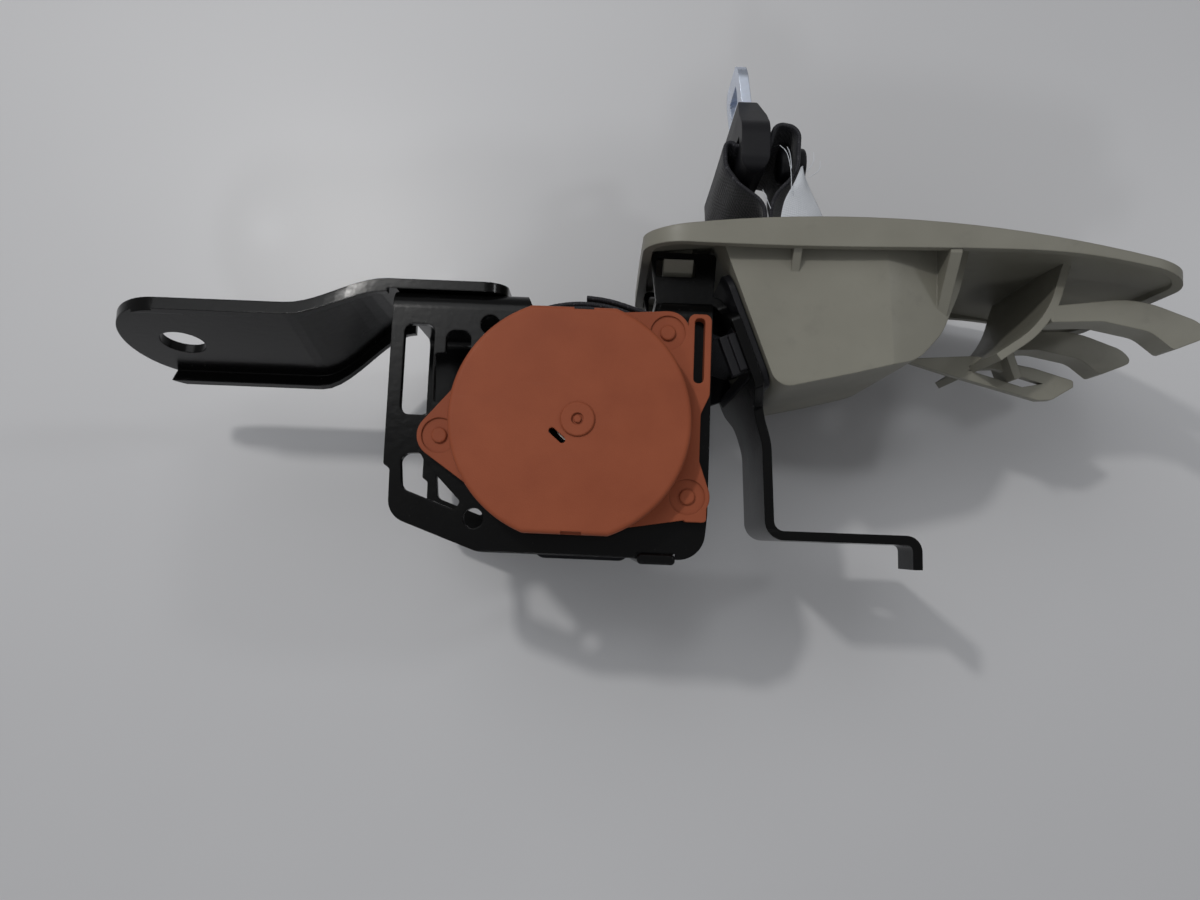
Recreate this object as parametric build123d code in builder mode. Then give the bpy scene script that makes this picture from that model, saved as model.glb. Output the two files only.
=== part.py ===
from build123d import *
from math import acos, asin, atan2, cos, degrees, hypot, pi, radians, sin, sqrt
import os

os.makedirs("parts", exist_ok=True)

# Seat belt retractor with its trim bezel and tongue, lying on the flat of its lock cover.
# Millimetres. The origin is where the reel axis meets the face it rests on. Z is the reel axis,
# X runs along the bezel and Y points the way the belt leaves the bezel.

# Belt
belt_width = 47.0
belt_thick = 1.2
roll_radius = 34.2
belt_gap = 0.3

# Frame
sheet = 2.5
side_gap = 51.0
lock_cover_height = 19.0
frame_left = -50.0
frame_right = 34.0
frame_top = 34.5
frame_bottom = -33.7
bend_radius = 2.6
notch_left = -12.5
notch_right = 18.6
notch_floor = 29.2
reel_hole_radius = 17.0

# Places along the reel axis that everything seats on
far_out_z = lock_cover_height
far_in_z = far_out_z + sheet
near_in_z = far_in_z + side_gap
near_out_z = near_in_z + sheet
mid_z = (far_in_z + near_in_z) / 2
web_in_y = frame_top - sheet

# Clearances
turn_gap = 0.05
seat_gap = 0.1
free_gap = 0.4

# Frame windows, in the plates' own plane
slot_window = (-42.6, 13.1, 8.0, 24.0)
pin_hole_radius = 2.6
frame_pin_hole = (-26.1, -25.1)
frame_round_hole = (-24.2, 25.6)

# Fixings in the side plates
lug_spots = [(-35.3, -4.5), (22.1, 24.3), (28.3, -17.7)]
lug_bore = 1.6
lock_cover_spots = [(25.6, 27.0), (-31.2, 21.0), (28.0, -24.8)]
pawl_pivot = (-28.0, 0.0)
pivot_radius = 2.0

# Tie bar
tie_left = 16.3
tie_width = 9.7
tie_thick = 3.0
tie_peen = 0.9



def strip_outline(points, radii, thick):
    """Corners and corner radii of a bent strip of even thickness about a line of points."""
    spots = [Vector(*point) for point in points]
    ways = [(b - a).normalized() for a, b in zip(spots, spots[1:])]
    sides = [Vector(-way.Y, way.X) for way in ways]
    left = [spots[0] + sides[0] * thick / 2]
    right = [spots[0] - sides[0] * thick / 2]
    left_radii = [0.15]
    right_radii = [0.15]
    for spot, way, side, next_side, radius in zip(spots[1:], ways, sides, sides[1:], radii or []):
        mitre = (side + next_side) / (1 + side.dot(next_side)) * thick / 2
        bulge = thick / 2 if way.dot(next_side) < 0 else -thick / 2
        left.append(spot + mitre)
        right.append(spot - mitre)
        left_radii.append(radius - bulge)
        right_radii.append(radius + bulge)
    left.append(spots[-1] + sides[-1] * thick / 2)
    right.append(spots[-1] - sides[-1] * thick / 2)
    left_radii.append(0.15)
    right_radii.append(0.15)
    return left + right[::-1], left_radii + right_radii[::-1]


def thick_line(points, radii, thick, low, high):
    """A bent wall of even thickness that stands along the reel axis between two heights."""
    corners, corner_radii = strip_outline(points, radii, thick)
    with BuildPart() as wall:
        with BuildSketch(Plane.XY.offset(low)):
            with BuildLine():
                FilletPolyline(*[(corner.X, corner.Y) for corner in corners], radius=corner_radii, close=True)
            make_face()
        extrude(amount=high - low)
    return wall.part


with BuildPart() as frame:
    with BuildSketch(Plane.YZ.offset(frame_left)):
        with BuildLine():
            FilletPolyline(
                (frame_bottom, far_out_z),
                (frame_top, far_out_z),
                (frame_top, near_out_z),
                (frame_bottom, near_out_z),
                (frame_bottom, near_in_z),
                (web_in_y, near_in_z),
                (web_in_y, far_in_z),
                (frame_bottom, far_in_z),
                radius=[0.4, bend_radius + sheet, bend_radius + sheet, 0.4, 0.4, bend_radius, bend_radius, 0.4],
                close=True,
            )
        make_face()
    extrude(amount=frame_right - frame_left)
    with BuildSketch(Plane.XY.offset(far_out_z)):
        with BuildLine():
            FilletPolyline(
                (frame_left, frame_top),
                (frame_left, -12.0),
                (frame_left + 1.7, -13.2),
                (frame_left + 1.9, -25.3),
                (-24.5, frame_bottom),
                (frame_right - 1.0, frame_bottom),
                (frame_right, -22.0),
                (frame_right, frame_top),
                (notch_right + 2.4, frame_top),
                (notch_right, notch_floor),
                (notch_left, notch_floor),
                (notch_left - 2.4, frame_top),
                radius=[0.8, 1.0, 1.0, 6.0, 8.0, 7.0, 3.0, 0.8, 0.5, 0.8, 0.8, 0.5],
                close=True,
            )
        make_face()
        with BuildLine():
            FilletPolyline(
                (-45.8, -9.2),
                (-40.6, -8.8),
                (-39.2, -11.3),
                (-29.6, -21.0),
                (-31.0, -23.2),
                (-44.9, -18.2),
                radius=[2.6, 1.2, 1.5, 0.9, 0.9, 2.2],
                close=True,
            )
        make_face(mode=Mode.SUBTRACT)
        with Locations(frame_pin_hole, frame_round_hole):
            Circle(pin_hole_radius, mode=Mode.SUBTRACT)
        Circle(reel_hole_radius, mode=Mode.SUBTRACT)
        with Locations((tie_left + tie_width / 2, frame_bottom)):
            Rectangle(tie_width + 2 * seat_gap, tie_thick, mode=Mode.SUBTRACT)
    extrude(amount=side_gap + 2 * sheet, mode=Mode.INTERSECT)
    with BuildSketch(Plane.XY.offset(near_in_z)):
        with BuildLine():
            FilletPolyline(
                (-37.9, 4.5),
                (-38.3, 17.4),
                (-35.6, 17.8),
                (-35.6, 23.8),
                (-29.0, 23.8),
                (-29.0, 4.5),
                radius=[1.0, 1.0, 0.2, 2.4, 2.4, 1.0],
                close=True,
            )
        make_face()
        with Locations(slot_window[:2]):
            RectangleRounded(slot_window[2], slot_window[3], 2.4)
        with Locations(*lug_spots):
            Circle(lug_bore)
    extrude(amount=sheet, mode=Mode.SUBTRACT)
    with BuildSketch(Plane.XY.offset(far_out_z)):
        with Locations(*lock_cover_spots):
            Circle(lug_bore)
        with Locations(pawl_pivot):
            Circle(pivot_radius + turn_gap)
    extrude(amount=sheet, mode=Mode.SUBTRACT)
frame.part.label = "frame"
export_step(frame.part, "parts/frame.step")

# Tie bar, peened through notches in the bottom of both side plates
with BuildPart() as tie_bar:
    with BuildSketch(Plane.XY.offset(far_out_z - tie_peen)):
        with Locations((tie_left + tie_width / 2, frame_bottom)):
            RectangleRounded(tie_width, tie_thick - 2 * seat_gap, 1.1)
    extrude(amount=side_gap + 2 * sheet + 2 * tie_peen)
    chamfer(tie_bar.edges().group_by(Axis.Z)[0] + tie_bar.edges().group_by(Axis.Z)[-1], 0.5)
tie_bar.part.label = "tie_bar"
export_step(tie_bar.part, "parts/tie_bar.step")

# Mounting arm, a pressed channel that drops and tilts on its way to the bolt hole
arm_sheet = 2.6
arm_width = 42.0
arm_near_z = near_out_z - 0.5
arm_far_z = arm_near_z - arm_width
arm_pad_right = -20.5
arm_bend_x = frame_left - 2.0
arm_flat_x = -79.0
arm_hole_x = -113.5
arm_hole_radius = 6.25
arm_drop = 7.5
arm_tilt = 15.4
arm_near_lip = 3.5
arm_far_lip = 6.0
arm_tip_reach = 16.8
arm_steps = 10
arm_top = frame_top + arm_sheet
arm_end_top = arm_top - arm_drop


def channel_outline(top, tilt):
    """Corners of the pressed channel as (Y, Z) points, near edge first."""
    across = Vector(-sin(radians(tilt)), -cos(radians(tilt)))
    down = Vector(across.Y, -across.X)
    near = Vector(top, arm_near_z)
    far = near + across * arm_width
    return [
        near,
        far,
        far + down * arm_far_lip,
        far + down * arm_far_lip - across * arm_sheet,
        far + down * arm_sheet - across * arm_sheet,
        near + down * arm_sheet + across * arm_sheet,
        near + down * arm_near_lip + across * arm_sheet,
        near + down * arm_near_lip,
    ]


arm_middle = Vector(arm_end_top, arm_near_z) + Vector(-sin(radians(arm_tilt)), -cos(radians(arm_tilt))) * arm_width / 2
arm_hole_centre = (arm_hole_x, arm_middle.X, arm_middle.Y)
arm_normal = (0, cos(radians(arm_tilt)), -sin(radians(arm_tilt)))

with BuildPart() as mounting_arm:
    with BuildSketch(Plane.XZ.offset(-frame_top)) as pad:
        with Locations(((arm_pad_right + arm_bend_x) / 2, (arm_near_z + arm_far_z) / 2)):
            Rectangle(arm_pad_right - arm_bend_x, arm_width)
        fillet(pad.vertices().group_by(Axis.X)[-1], 6)
    extrude(amount=-arm_sheet)
    for step in range(arm_steps + 1):
        share = step / arm_steps
        eased = share * share * (3 - 2 * share)
        with BuildSketch(Plane.YZ.offset(arm_bend_x + (arm_flat_x - arm_bend_x) * share)):
            with BuildLine():
                Polyline(*channel_outline(arm_top - arm_drop * eased, arm_tilt * eased), close=True)
            make_face()
    loft(ruled=True)
    with BuildSketch(Plane.YZ.offset(arm_flat_x)):
        with BuildLine():
            Polyline(*channel_outline(arm_end_top, arm_tilt), close=True)
        make_face()
    extrude(amount=arm_hole_x - arm_width - arm_flat_x)
    with BuildSketch(Plane.XZ.offset(-arm_top)):
        with Locations((arm_hole_x - arm_width / 2, arm_hole_centre[2])):
            Rectangle(arm_width, 2 * arm_width)
        with Locations((arm_hole_x, arm_hole_centre[2])):
            Ellipse(arm_tip_reach, arm_width / 2 * cos(radians(arm_tilt)), mode=Mode.SUBTRACT)
    extrude(amount=arm_drop + arm_width, mode=Mode.SUBTRACT)
    with BuildSketch(Plane(origin=arm_hole_centre, x_dir=(1, 0, 0), z_dir=arm_normal)):
        Circle(arm_hole_radius)
    extrude(amount=arm_far_lip, both=True, mode=Mode.SUBTRACT)
mounting_arm.part.label = "mounting_arm"
export_step(mounting_arm.part, "parts/mounting_arm.step")

# Trim bracket, one bent strap: base on the web, loop for the guide, leg and end tab
loop_top = (39.2, 30.3)
loop_low = (46.2, 12.6)
loop_half_width = 31.0
leg_half_width = 18.0
tab_half_width = 21.5
base_left = 19.2
base_end = 36.3
leg_knee = (50.6, -1.5)
leg_corner = (52.0, -26.3)
leg_end = (91.4, -26.2)
leg_tab_end = -34.0
leg_tab_left = 5.0
leg_hole_x = 74.0
leg_hole_radius = 4.25
strap_mid = frame_top + sheet / 2
window_tab_top = 48.8

loop_middle = ((loop_top[0] + loop_low[0]) / 2, (loop_top[1] + loop_low[1]) / 2)
loop_run = Vector(loop_low[0] - loop_top[0], loop_low[1] - loop_top[1]).normalized()
loop_normal = Vector(-loop_run.Y, loop_run.X)
guide_plane = Plane(
    origin=(loop_middle[0], loop_middle[1], mid_z), x_dir=(0, 0, 1), z_dir=(loop_normal.X, loop_normal.Y, 0)
)
loop_open_half_length = 7.3
loop_open_half_width = 28.3

with BuildPart() as trim_bracket:
    add(
        thick_line(
            [
                (base_left, strap_mid),
                (base_end, strap_mid),
                loop_top,
                loop_low,
                leg_knee,
                leg_corner,
                leg_end,
                (leg_end[0] + 0.2, leg_tab_end),
            ],
            [3.5, 6.0, 30.0, 20.0, 4.0, 3.0],
            sheet,
            mid_z - loop_half_width,
            mid_z + loop_half_width,
        )
    )
    shoulder = 6.5
    half_outline = [
        (-30.0, tab_half_width),
        (-12.0, tab_half_width),
        (-9.5, loop_half_width),
        (9.5, loop_half_width),
        (9.5 + shoulder, leg_half_width),
        (80.0, leg_half_width),
    ]
    with BuildSketch(guide_plane):
        with BuildLine():
            FilletPolyline(
                *[(w, s) for s, w in half_outline],
                *[(-w, s) for s, w in reversed(half_outline)],
                radius=[0.5, 3, 2.2, 4, 6, 0.5, 0.5, 6, 4, 2.2, 3, 0.5],
                close=True,
            )
        make_face()
    extrude(amount=100, both=True, mode=Mode.INTERSECT)
    with BuildSketch(guide_plane):
        RectangleRounded(2 * loop_open_half_width, 2 * loop_open_half_length, 2.2)
    extrude(amount=2 * sheet, both=True, mode=Mode.SUBTRACT)
    with BuildSketch(Plane.XZ.offset(-leg_corner[1] - 2 * sheet)):
        with Locations((leg_hole_x, mid_z)):
            Circle(leg_hole_radius)
    extrude(amount=4 * sheet, mode=Mode.SUBTRACT)
    with BuildSketch(Plane.XY.offset(mid_z - tab_half_width - 1)):
        with Locations((leg_end[0] + 1.0, leg_tab_end)):
            Rectangle(8.0, 2 * (leg_end[1] - sheet / 2 - leg_tab_end))
    extrude(amount=tab_half_width + 1 + leg_tab_left, mode=Mode.SUBTRACT)
    for tab_z in (mid_z + tab_half_width - sheet, mid_z - tab_half_width):
        with BuildSketch(Plane.XY.offset(tab_z)):
            with BuildLine():
                FilletPolyline(
                    (base_left, frame_top + sheet / 2),
                    (34.6, frame_top + sheet / 2),
                    (35.3, window_tab_top),
                    (17.3, window_tab_top),
                    radius=[0.2, 0.2, 1.5, 1.5],
                    close=True,
                )
            make_face()
            with Locations((24.4, 44.8)):
                RectangleRounded(10.8, 5.2, 0.8, mode=Mode.SUBTRACT)
        extrude(amount=sheet)
trim_bracket.part.label = "trim_bracket"
export_step(trim_bracket.part, "parts/trim_bracket.step")


def along(down, out):
    """A point in the XY plane, so far down the strap from the guide's middle and so far to its right."""
    at = Vector(*loop_middle) + loop_run * down + loop_normal * out
    return (at.X, at.Y)


def guide_section(out):
    """The guide's sketch plane at a distance to the right of the strap's middle."""
    return Plane(
        origin=(*along(0, out), mid_z), x_dir=(0, 0, 1), z_dir=(loop_normal.X, loop_normal.Y, 0)
    )


# Webbing guide, snapped into the strap's loop; the belt runs over its rounded lips
guide_half_length = 28.1
guide_half_width = 7.1
guide_flange_out = sheet / 2 + seat_gap
guide_flange_thick = 1.7
guide_flange_half = 30.0
guide_slot_half_length = 25.0
guide_slot_high = -5.6
guide_slot_low = 4.6
guide_block_depth = 5.4

with BuildPart() as webbing_guide:
    with BuildSketch(guide_section(guide_flange_out)):
        with Locations((0, -5.0)):
            RectangleRounded(2 * guide_flange_half, 32.0, 5)
    extrude(amount=guide_flange_thick)
    with BuildSketch(guide_section(-guide_flange_out)):
        RectangleRounded(2 * guide_half_length, 2 * guide_half_width, 2.0)
    extrude(amount=2 * guide_flange_out)
    with BuildSketch(guide_section(-guide_block_depth)):
        for side in (-1, 1):
            with Locations((side * (guide_slot_half_length + guide_half_length) / 2, 0)):
                Rectangle(guide_half_length - guide_slot_half_length, 2 * guide_half_width - 3.4)
    extrude(amount=guide_block_depth)
    with BuildSketch(guide_section(-3.3)):
        for side in (-1, 1):
            with Locations((side * (guide_half_length + 0.6), 0)):
                Rectangle(2.0, 2 * guide_half_width - 4.4)
    extrude(amount=3.3 - guide_flange_out)
    with BuildSketch(guide_section(-guide_block_depth - 1)):
        with Locations((0, (guide_slot_high + guide_slot_low) / 2)):
            RectangleRounded(2 * guide_slot_half_length, guide_slot_low - guide_slot_high, 1.2)
    extrude(amount=3 * guide_block_depth, mode=Mode.SUBTRACT)
    with BuildSketch(guide_section(guide_flange_out + guide_flange_thick)):
        for low in (-18.6, -15.4, -12.2, 7.0):
            with Locations((0, low)):
                Rectangle(2 * guide_flange_half - 8, 0.9)
    extrude(amount=-0.6, mode=Mode.SUBTRACT)
webbing_guide.part.label = "webbing_guide"
export_step(webbing_guide.part, "parts/webbing_guide.step")

# Bezel, a domed trim cover with a pocket for the belt and snap arms for the car's panel
bezel_left = 15.0
bezel_right = 158.0
bezel_half = 39.0
bezel_far = mid_z - bezel_half
bezel_near = mid_z + bezel_half
bezel_wall = 2.5
dome_radius = 350.0
dome_top = (75.0, 57.0)
mouth_left = 38.5
mouth_right = 101.0
mouth_ledge = 0.3
pocket_out = 3.45
pocket_floor = [(70.5, 15.8), (87.3, 20.3), (94.6, 28.3), (100.0, 40.5), (105.5, 61.5)]
pocket_half_top = bezel_half - 5.8
pocket_half_low = bezel_half - 7.0
pocket_half_end = 22.0
pocket_taper_x = (78.0, 106.0)
rib_wall = 2.2
belt_window = (-12.5, 8.5, 26.0)


def dome_ball(depth):
    """Adds or cuts the ball whose surface lies a depth under the dome."""
    return Pos(dome_top[0], dome_top[1] - dome_radius, mid_z) * Solid.make_sphere(dome_radius - depth)


def bezel_outline(inset):
    """Plan of the bezel, drawn on the XZ plane, drawn in by an inset."""
    with BuildSketch(Plane.XZ.offset(-dome_top[1] - 5)) as plan:
        with BuildLine():
            FilletPolyline(
                (bezel_left + inset, bezel_far + inset),
                (bezel_right - inset, bezel_far + inset + 3),
                (bezel_right - inset, bezel_near - inset - 3),
                (bezel_left + inset, bezel_near - inset),
                radius=[11 - inset, 13 - inset, 13 - inset, 11 - inset],
                close=True,
            )
        make_face()
    return plan.sketch


def pocket_profile(inset):
    """The pocket's outline in the XY plane, drawn in by an inset."""
    top_y = dome_top[1] + 6
    with BuildSketch() as profile:
        with BuildLine():
            FilletPolyline(
                along(-44.0, pocket_out),
                along(12.6, pocket_out),
                *pocket_floor,
                radius=[0.1, 5.0, 30.0, 12.0, 16.0, 30.0, 0.1],
                close=True,
            )
        make_face()
        if inset:
            offset(amount=-inset)
    return profile.sketch


def pocket_width(inset):
    """The pocket's outline across the belt, in the (Z, Y) plane, drawn in by an inset."""
    return [
        (mid_z - pocket_half_top + inset, 64.0),
        (mid_z - pocket_half_low + inset, 8.0),
        (mid_z + pocket_half_low - inset, 8.0),
        (mid_z + pocket_half_top - inset, 64.0),
    ]


def pocket_plan(inset):
    """The pocket's outline seen along the belt, drawn on the XZ plane, drawn in by an inset."""
    with BuildSketch(Plane.XZ.offset(-dome_top[1] - 8)) as plan:
        with BuildLine():
            FilletPolyline(
                (bezel_left, mid_z - bezel_half),
                (pocket_taper_x[0], mid_z - pocket_half_top + inset),
                (pocket_taper_x[1], mid_z - pocket_half_end + inset),
                (pocket_taper_x[1], mid_z + pocket_half_end - inset),
                (pocket_taper_x[0], mid_z + pocket_half_top - inset),
                (bezel_left, mid_z + bezel_half),
                radius=[1, 30, 1, 1, 30, 1],
                close=True,
            )
        make_face()
    return plan.sketch


with BuildPart() as pocket_outer:
    extrude(pocket_profile(0), 100)
    with BuildSketch(Plane.ZY.offset(-200)):
        with BuildLine():
            FilletPolyline(*pocket_width(0), radius=[0.1, 6.0, 6.0, 0.1], close=True)
        make_face()
    extrude(amount=200, mode=Mode.INTERSECT)
    extrude(pocket_plan(0), 80, mode=Mode.INTERSECT)

with BuildPart() as pocket_inner:
    extrude(pocket_profile(bezel_wall), 100)
    with BuildSketch(Plane.ZY.offset(-200)):
        with BuildLine():
            FilletPolyline(*pocket_width(bezel_wall), radius=[0.1, 4.0, 4.0, 0.1], close=True)
        make_face()
    extrude(amount=200, mode=Mode.INTERSECT)
    extrude(pocket_plan(bezel_wall), 80, mode=Mode.INTERSECT)

with BuildPart() as pocket_room:
    add(pocket_inner.part)
    add(dome_ball(bezel_wall), mode=Mode.INTERSECT)

with BuildPart() as bezel_hollow:
    extrude(bezel_outline(bezel_wall), 40)
    add(dome_ball(bezel_wall), mode=Mode.INTERSECT)




claw = [
    (125.0, 37.8),
    (148.0, 40.9),
    (164.8, 35.0),
    (167.5, 31.4),
    (164.1, 29.8),
    (157.7, 27.1),
    (151.6, 31.8),
    (138.8, 34.2),
    (125.0, 33.4),
]
claw_width = 9.0
claw_half = bezel_half - 16.0
claw_levels = [(mid_z + claw_half - claw_width, mid_z + claw_half), (mid_z - claw_half, mid_z - claw_half + claw_width)]
clip_level = (mid_z + 1.6, mid_z + 4.2)

with BuildPart() as bezel_ribs:
    for low, high in claw_levels:
        with BuildSketch(Plane.XY.offset(low)):
            with BuildLine():
                FilletPolyline(
                    *claw, radius=[0.5, 30, 8, 1.5, 1.2, 1.5, 8, 12, 0.5], close=True
                )
            make_face()
        extrude(amount=high - low)
    add(
        thick_line(
            [(131.5, 56.0), (128.3, 45.9), (126.0, 37.6), (120.4, 30.0), (111.0, 23.4)],
            [20, 25, 25],
            rib_wall,
            mid_z - claw_half,
            mid_z + claw_half,
        )
    )
    add(thick_line([(119.3, 29.4), (122.4, 20.6)], None, rib_wall, mid_z - 3.0, mid_z + 9.0))
    with BuildSketch(Plane.XY.offset(clip_level[0])):
        with BuildLine():
            FilletPolyline(
                (90.5, 25.8),
                (104.0, 22.0),
                (130.1, 15.3),
                (134.0, 15.6),
                (140.2, 19.5),
                (140.2, 21.4),
                (129.0, 24.6),
                (112.0, 27.5),
                radius=[0.5, 5, 0.5, 2, 0.5, 0.8, 8, 1],
                close=True,
            )
        make_face()
        with BuildLine():
            Polyline((110.0, 23.4), (125.6, 19.0), (131.6, 20.2), (118.0, 24.0), close=True)
        make_face(mode=Mode.SUBTRACT)
    extrude(amount=clip_level[1] - clip_level[0])
    with BuildSketch(Plane.ZY.offset(-96.0)):
        for side in (-1, 1):
            with BuildLine():
                Polyline(
                    (mid_z + side * (bezel_half - 20.0), 33.0),
                    (mid_z + side * (bezel_half - 13.0), 33.0),
                    (mid_z + side * (bezel_half - 2.2), 47.0),
                    (mid_z + side * (bezel_half - 2.2), 58.0),
                    (mid_z + side * (bezel_half - 20.0), 58.0),
                    close=True,
                )
            make_face()
    extrude(amount=3.0)
    with BuildSketch(Plane.ZY.offset(-55.4)):
        for side in (-1, 1):
            with BuildLine():
                Polyline(
                    (mid_z + side * (bezel_half - 7.5), 40.0),
                    (mid_z + side * (bezel_half - 1.5), 48.0),
                    (mid_z + side * (bezel_half - 1.5), 56.0),
                    (mid_z + side * (bezel_half - 7.5), 56.0),
                    close=True,
                )
            make_face()
    extrude(amount=rib_wall)

# Hooks that hang the bezel in the windows of the bracket's tabs
hook_gap = 0.4
tab_inner_half = tab_half_width - sheet
hook_stem = 3.1

with BuildPart() as bezel_hooks:
    for side in (-1, 1):
        with BuildSketch(Plane.YZ.offset(21.0)):
            with BuildLine():
                inner = mid_z + side * (tab_inner_half - hook_gap - hook_stem)
                outer = mid_z + side * (tab_inner_half - hook_gap)
                tip = mid_z + side * (tab_half_width + 1.2)
                Polyline(
                    (41.2, inner),
                    (56.0, inner),
                    (56.0, outer),
                    (46.7, outer),
                    (46.7, tip),
                    (42.8, outer + side * 0.2),
                    (41.2, outer),
                    close=True,
                )
            make_face()
        extrude(amount=8.0)
    with BuildSketch(Plane.ZY.offset(-26.1)):
        for side in (-1, 1):
            with BuildLine():
                stem = mid_z + side * (tab_inner_half - hook_gap - hook_stem + 0.5)
                Polyline(
                    (stem, 46.0), (stem - side * 8.0, 54.0), (stem, 54.0), close=True
                )
            make_face()
    extrude(amount=rib_wall)

with BuildPart() as bezel:
    extrude(bezel_outline(0), 26)
    with BuildSketch(Plane.XY.offset(bezel_far - 5)):
        with BuildLine():
            edge = Spline(
                (bezel_left - 3, 46.6),
                (40.0, 46.5),
                (60.0, 46.8),
                (80.0, 47.5),
                (105.0, 48.3),
                (123.0, 48.2),
                (140.0, 46.3),
                (bezel_right + 2, 42.0),
            )
            Polyline(edge @ 1, (bezel_right + 2, 20.0), (bezel_left - 3, 20.0), edge @ 0)
        make_face()
    extrude(amount=2 * bezel_half + 10, mode=Mode.SUBTRACT)
    add(bezel_hollow.part, mode=Mode.SUBTRACT)
    add(pocket_outer.part)
    add(bezel_ribs.part)
    add(bezel_hooks.part)
    add(dome_ball(0), mode=Mode.INTERSECT)
    add(pocket_room.part, mode=Mode.SUBTRACT)
    with BuildSketch(Plane.XZ.offset(-dome_top[1] - 5)):
        add(pocket_plan(bezel_wall + mouth_ledge))
        with Locations(((mouth_left + mouth_right) / 2, mid_z)):
            RectangleRounded(
                mouth_right - mouth_left, 2 * (pocket_half_top - bezel_wall - mouth_ledge), 6, mode=Mode.INTERSECT
            )
    extrude(amount=16, mode=Mode.SUBTRACT)
    with BuildSketch(guide_section(0)):
        with Locations((0, (belt_window[0] + belt_window[1]) / 2)):
            RectangleRounded(2 * belt_window[2], belt_window[1] - belt_window[0], 3)
    extrude(amount=9, mode=Mode.SUBTRACT)
bezel.part.label = "bezel"
export_step(bezel.part, "parts/bezel.step")

# Spring side: base in the near plate, coiled spring on its arbor, cover and three pins
cover_centre = (-2.0, 0.0)
cover_radius = 30.3
cover_flat = 28.4
cover_wall = 1.6
cover_height = 12.0
cover_top = near_out_z + cover_height
lug_top = near_out_z + 4.0
lug_radius = 5.7
pin_radius = 1.5
pin_head_radius = 2.0
strip = (27.4, 33.3, -24.0, 29.5)
strip_slot = (30.3, 20.0, 2.7, 17.0)
strip_waist = (8.5, -16.0, 2.2)
base_hub_radius = 16.8
base_top = near_out_z + 2.0
journal_radius = 6.0

with BuildPart() as spring_cover:
    with BuildSketch(Plane.XY.offset(near_out_z)):
        for spot in lug_spots:
            with BuildSketch(mode=Mode.PRIVATE) as lug:
                with Locations(cover_centre):
                    Circle(cover_radius - 2.0)
                with Locations(spot):
                    Circle(lug_radius)
            add(make_hull(lug.sketch.edges(), mode=Mode.PRIVATE))
        with BuildLine():
            FilletPolyline(
                (strip[0], strip[3]),
                (strip[1], strip[3]),
                (strip[1], strip_waist[0]),
                (strip[1] - strip_waist[2], strip_waist[0] - 5.0),
                (strip[1] - strip_waist[2], strip_waist[1]),
                (strip[1], strip_waist[1] - 4.0),
                (strip[1], strip[2]),
                (strip[0], strip[2]),
                radius=[1.8, 1.8, 3.0, 3.0, 3.0, 1.5, 1.0, 1.0],
                close=True,
            )
        make_face()
        with Locations((24.0, 3.0)):
            Rectangle(8.0, 36.0)
        with Locations(strip_slot[:2]):
            RectangleRounded(strip_slot[2], strip_slot[3], 1.2, mode=Mode.SUBTRACT)
        with Locations(*lug_spots):
            Circle(lug_bore, mode=Mode.SUBTRACT)
    extrude(amount=lug_top - near_out_z)
    with BuildSketch(Plane.XY.offset(near_out_z)):
        with Locations(cover_centre):
            Circle(cover_radius)
            Rectangle(2 * cover_radius, 2 * cover_flat, mode=Mode.INTERSECT)
    extrude(amount=cover_top - near_out_z)
    fillet(spring_cover.edges().group_by(Axis.Z)[-1], 1.2)
    with BuildSketch(Plane.XY.offset(near_out_z)):
        with Locations(cover_centre):
            Circle(cover_radius - cover_wall)
            Rectangle(
                2 * cover_radius, 2 * (cover_flat - cover_wall), mode=Mode.INTERSECT
            )
    extrude(amount=cover_top - cover_wall - near_out_z, mode=Mode.SUBTRACT)
    with BuildSketch(Plane.XY.offset(cover_top)):
        Circle(4.3)
    extrude(amount=0.7)
    chamfer(spring_cover.edges().group_by(Axis.Z)[-1], 0.3)
    with BuildSketch(Plane.XY.offset(cover_top + 0.7)):
        Circle(1.5)
        Circle(0.9, mode=Mode.SUBTRACT)
    extrude(amount=-0.6, mode=Mode.SUBTRACT)
    with BuildSketch(Plane.XY.offset(cover_top)):
        with Locations(Location((-4.9, -4.2, 0), (0, 0, -40))):
            SlotOverall(5.0, 1.6)
    extrude(amount=-cover_wall, mode=Mode.SUBTRACT)
    with BuildSketch(Plane.XY.offset(cover_top)):
        with Locations((0.5, cover_flat), (-0.5, -cover_flat)):
            Rectangle(5.0, 1.4)
    extrude(amount=-4.0, mode=Mode.SUBTRACT)
    with BuildSketch(Plane.XY.offset(lug_top)):
        for spot in lug_spots:
            with Locations(spot):
                Circle(lug_radius - 1.2)
    extrude(amount=-0.5, mode=Mode.SUBTRACT)
spring_cover.part.label = "spring_cover"
export_step(spring_cover.part, "parts/spring_cover.step")

with BuildPart() as cover_pins:
    for spot in lug_spots:
        with BuildSketch(Plane.XY.offset(near_in_z - 1.5)):
            with Locations(spot):
                Circle(pin_radius)
        extrude(amount=lug_top - 0.5 - near_in_z + 1.5)
        with BuildSketch(Plane.XY.offset(lug_top - 0.5)):
            with Locations(spot):
                Circle(pin_head_radius)
        extrude(amount=0.8)
    chamfer(cover_pins.edges().group_by(Axis.Z)[-1], 0.3)
    chamfer(cover_pins.edges().group_by(Axis.Z)[0], 0.5)
cover_pins.part.label = "cover_pins"
export_step(cover_pins.part, "parts/cover_pins.step")

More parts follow.
